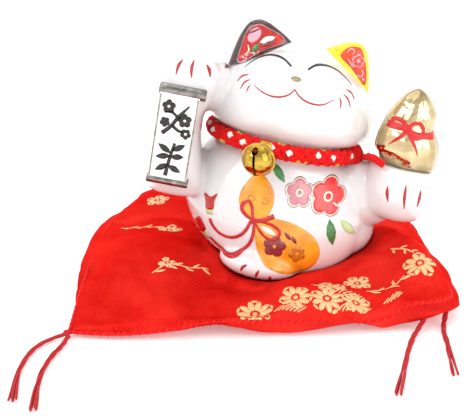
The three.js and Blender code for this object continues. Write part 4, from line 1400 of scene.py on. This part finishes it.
def underside_of(frame, glaze):
    """The height of the cat's underside over a point, or high above where there is none."""
    trees = [tree_of(glaze.data), tree_of(frame["nodes"]["body_shell"].data)]

    def under(x, y):
        heights = [tree.ray_cast(Vector((x, y, -5)) * MM, Vector((0, 0, 1)))[0] for tree in trees]
        return min([h.z / MM for h in heights if h is not None], default=OPEN_SKY)

    return under


def make_cushion(frame, glaze):
    """The stuffed brocade cushion that the cat has sunk into."""
    satin = satin_material("red brocade satin", SATIN_RED, pattern=True)
    lining = satin_material("red lining satin", LINING_RED, pattern=False, tip=1.1)
    top, bottom, pressed = pillow_grid(CLOTH_CELLS, underside_of(frame, glaze))
    cushion = cushion_mesh(top, bottom, pressed, [satin, lining])
    settle(cushion)
    add_modifier(cushion, "finer cloth", "SUBSURF", levels=1, render_levels=1)
    cushion.data.shade_smooth()
    parts = ("cushion_top_cover", "cushion_bottom_cover", "cushion_filling")
    return put_on(cushion, "cushion", "red_brocade", *parts)


def whip_stitch(point, ahead, centre, lean):
    """One slanting stitch round the rolled edge."""
    out = np.cross(ahead, (0, 0, 1))
    out *= math.copysign(1, np.dot(out, point - centre)) / np.linalg.norm(out)
    over = np.cross(out, ahead)
    over *= math.copysign(1, over[2])
    slant = STITCH_OVER * over + lean * ahead
    wrap = [
        point + (STITCH_OUT * math.cos(a) - STITCH_SINK) * out + slant * math.sin(a)
        for a in np.linspace(-STITCH_TURN, STITCH_TURN, 14)
    ]
    return tube(wrap, STITCH_RADIUS, 7)


def make_stitching(red):
    """A rolled edge with slanting whip stitches round it."""
    loop = np.concatenate([eased(side, 221)[:-1] for side in seam_sides(CLOTH_CELLS)])
    along = distances([*loop, loop[0]])
    chance = random.Random(STITCH_SEED)
    shapes = [tube(loop, EDGE_RADIUS, 10, closed=True)]
    at = 1.0
    while at < along[-1] - 1:
        i = int(np.searchsorted(along[:-1], at)) % len(loop)
        ahead = unit(loop[(i + 1) % len(loop)] - loop[i - 1])
        shapes.append(whip_stitch(loop[i], ahead, loop.mean(0), chance.uniform(*STITCH_LEANS)))
        at += chance.uniform(*STITCH_GAPS)
    marks = [0] + [1] * (len(shapes) - 1)
    pale = threaded("pale red stitch yarn", STITCH_RED)
    stitching = new_piece("whip_stitched_edge", shapes, [red, pale], marks=marks)
    put_on(stitching, "cushion", "red_thread", "edge_stitching")


def make_corner_knots(red):
    """The knotted thread at the two front corners, where the loose ends start."""
    wide, deep, _ = CORNER_KNOT_RADII
    shapes = []
    for x, y, z in CORNER_KNOTS:
        shapes.append(ellipsoid((x, y, z), CORNER_KNOT_RADII, steps=16, around=24))
        ring = [(x + wide * math.cos(a), y + deep * math.sin(a), z - 0.2) for a in circle(24)]
        shapes.append(tube(ring, 0.4, 7, closed=True))
    put_on(new_piece("corner_knots", shapes, [red]), "cushion", "red_thread")


def brocade_blossom(centre, size, turn=0.0, petals=5):
    """A woven blossom: split petals round a small heart."""
    centre = np.array(centre, float)
    made = [dot(centre, size * 0.15, 12)]
    for k in range(petals):
        a = turn + 2 * math.pi * k / petals
        way = np.array((math.cos(a), math.sin(a)))
        side = np.array((-way[1], way[0]))
        for half in (-1, 1):
            middle = centre + way * size * 0.62 + side * half * size * 0.20
            made.append(oval(middle, (size * 0.38, size * 0.18), a + half * 0.30, 16))
        made.append(oval(centre + way * size * 1.02, (size * 0.08, size * 0.20), a, 10))
    return made


def brocade_sprig(points, leaves, size):
    """A woven stem with small leaves along it."""
    line = eased(points, 40)
    made = [stroke(points, [0.5, 0.7, 0.5], 24)]
    for k in range(leaves):
        i = int((k + 0.5) / leaves * 38)
        ahead = unit(line[i + 1] - line[i])
        side = np.array((-ahead[1], ahead[0])) * (1 if k % 2 else -1)
        tip = line[i] + ahead * size * 0.8 + side * size * 0.75
        made.append(leaf(line[i] + side * 0.5, tip, size * 0.36))
    return made


def brocade_hatch(corner, along, across, count):
    """Short parallel floats, as where a woven leaf shows only as lines."""
    corner, along, across = (np.array(v, float) for v in (corner, along, across))
    made = []
    for k in range(count):
        start = corner + across * k
        grow = 0.6 + 0.4 * math.sin(math.pi * (k + 0.5) / count)
        made.append(stroke([start, start + along * grow], [0.45, 0.45], 6))
    return made


def make_brocade(cushion):
    """Gold blossoms, sprigs and hatched leaves woven into the cushion's top."""
    blossoms = (
        ((27.0, -57.0), 6.8, 0.5), ((25.0, -68.6), 6.2, 0.1), ((12.6, -67.0), 6.2, 0.9),
        ((36.4, -68.6), 5.4, 0.3), ((39.5, -50.5), 5.4, 0.7), ((-3.5, -73.6), 6.8, 0.35),
        ((66.0, -46.5), 6.4, 0.2), ((-41.6, -44.0), 3.8, 0.4, 4), ((-46.2, -0.8), 5.8, 0.2),
        ((-57.0, 33.0), 5.8, 0.2), ((52.0, 34.0), 5.8, 0.2), ((10.0, 54.0), 6.2, 0.6),
    )
    sprigs = (
        ([(-47, -52.5), (-42, -46), (-34, -43), (-24, -41.5)], 7, 4.2),
        ([(-72, 6.5), (-61, 5.5), (-52, 1.5)], 6, 4.4), ([(42, -60), (50, -58), (59, -50)], 5, 4.0),
        ([(57, -29.5), (61, -33.5), (65, -39)], 4, 3.0), ([(24, 55), (38, 48), (50, 40)], 7, 4.4),
        ([(-50, 40), (-36, 50), (-20, 56)], 7, 4.4),
    )
    hatches = (
        ((4.0, -75.0), (5.2, 4.4), (1.5, -0.1), 7), ((28.5, -64.5), (4.4, 3.8), (1.5, -0.4), 7),
        ((29.0, -73.8), (4.0, 3.4), (1.5, 0.1), 8), ((47.5, -68.5), (3.4, 4.4), (1.4, 0.5), 5),
    )
    outlines = [
        *[outline for row in blossoms for outline in brocade_blossom(*row)],
        *[outline for row in sprigs for outline in brocade_sprig(*row)],
        *[outline for row in hatches for outline in brocade_hatch(*row)],
    ]
    top = Canvas(cushion, WORLD, lambda p: (p[0], p[1], 60), (0, 0, -1))
    patches("brocade_floss", top, outlines, brocade_material(), "cushion", "red_brocade", 0.16, 1.6, 0.25)


# ---------------------------------------------------------------- everything together
def make_cat():
    """The glazed figure with its painting, scroll and gourd."""
    glaze = make_glaze()
    paints = {key: painted(name, colour, **look) for key, (name, colour, look) in ENAMELS.items()}
    front = front_of(glaze)
    for paint in (paint_face, paint_claws, paint_gourd_motif, paint_ribbon_motif, paint_blossoms, paint_ears):
        paint(front, paints)
    make_scroll(paints)
    make_gourd(paints)
    return glaze


def main():
    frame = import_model()
    make_camera()
    red = threaded("red cord yarn", CORD_RED)
    dull = threaded("dull red thread", THREAD_RED)
    make_tassels(dull)
    make_stage()
    glaze = make_cat()
    make_collar(red)
    make_bell()
    cushion = make_cushion(frame, glaze)
    make_stitching(red)
    make_corner_knots(dull)
    make_brocade(cushion)


main()
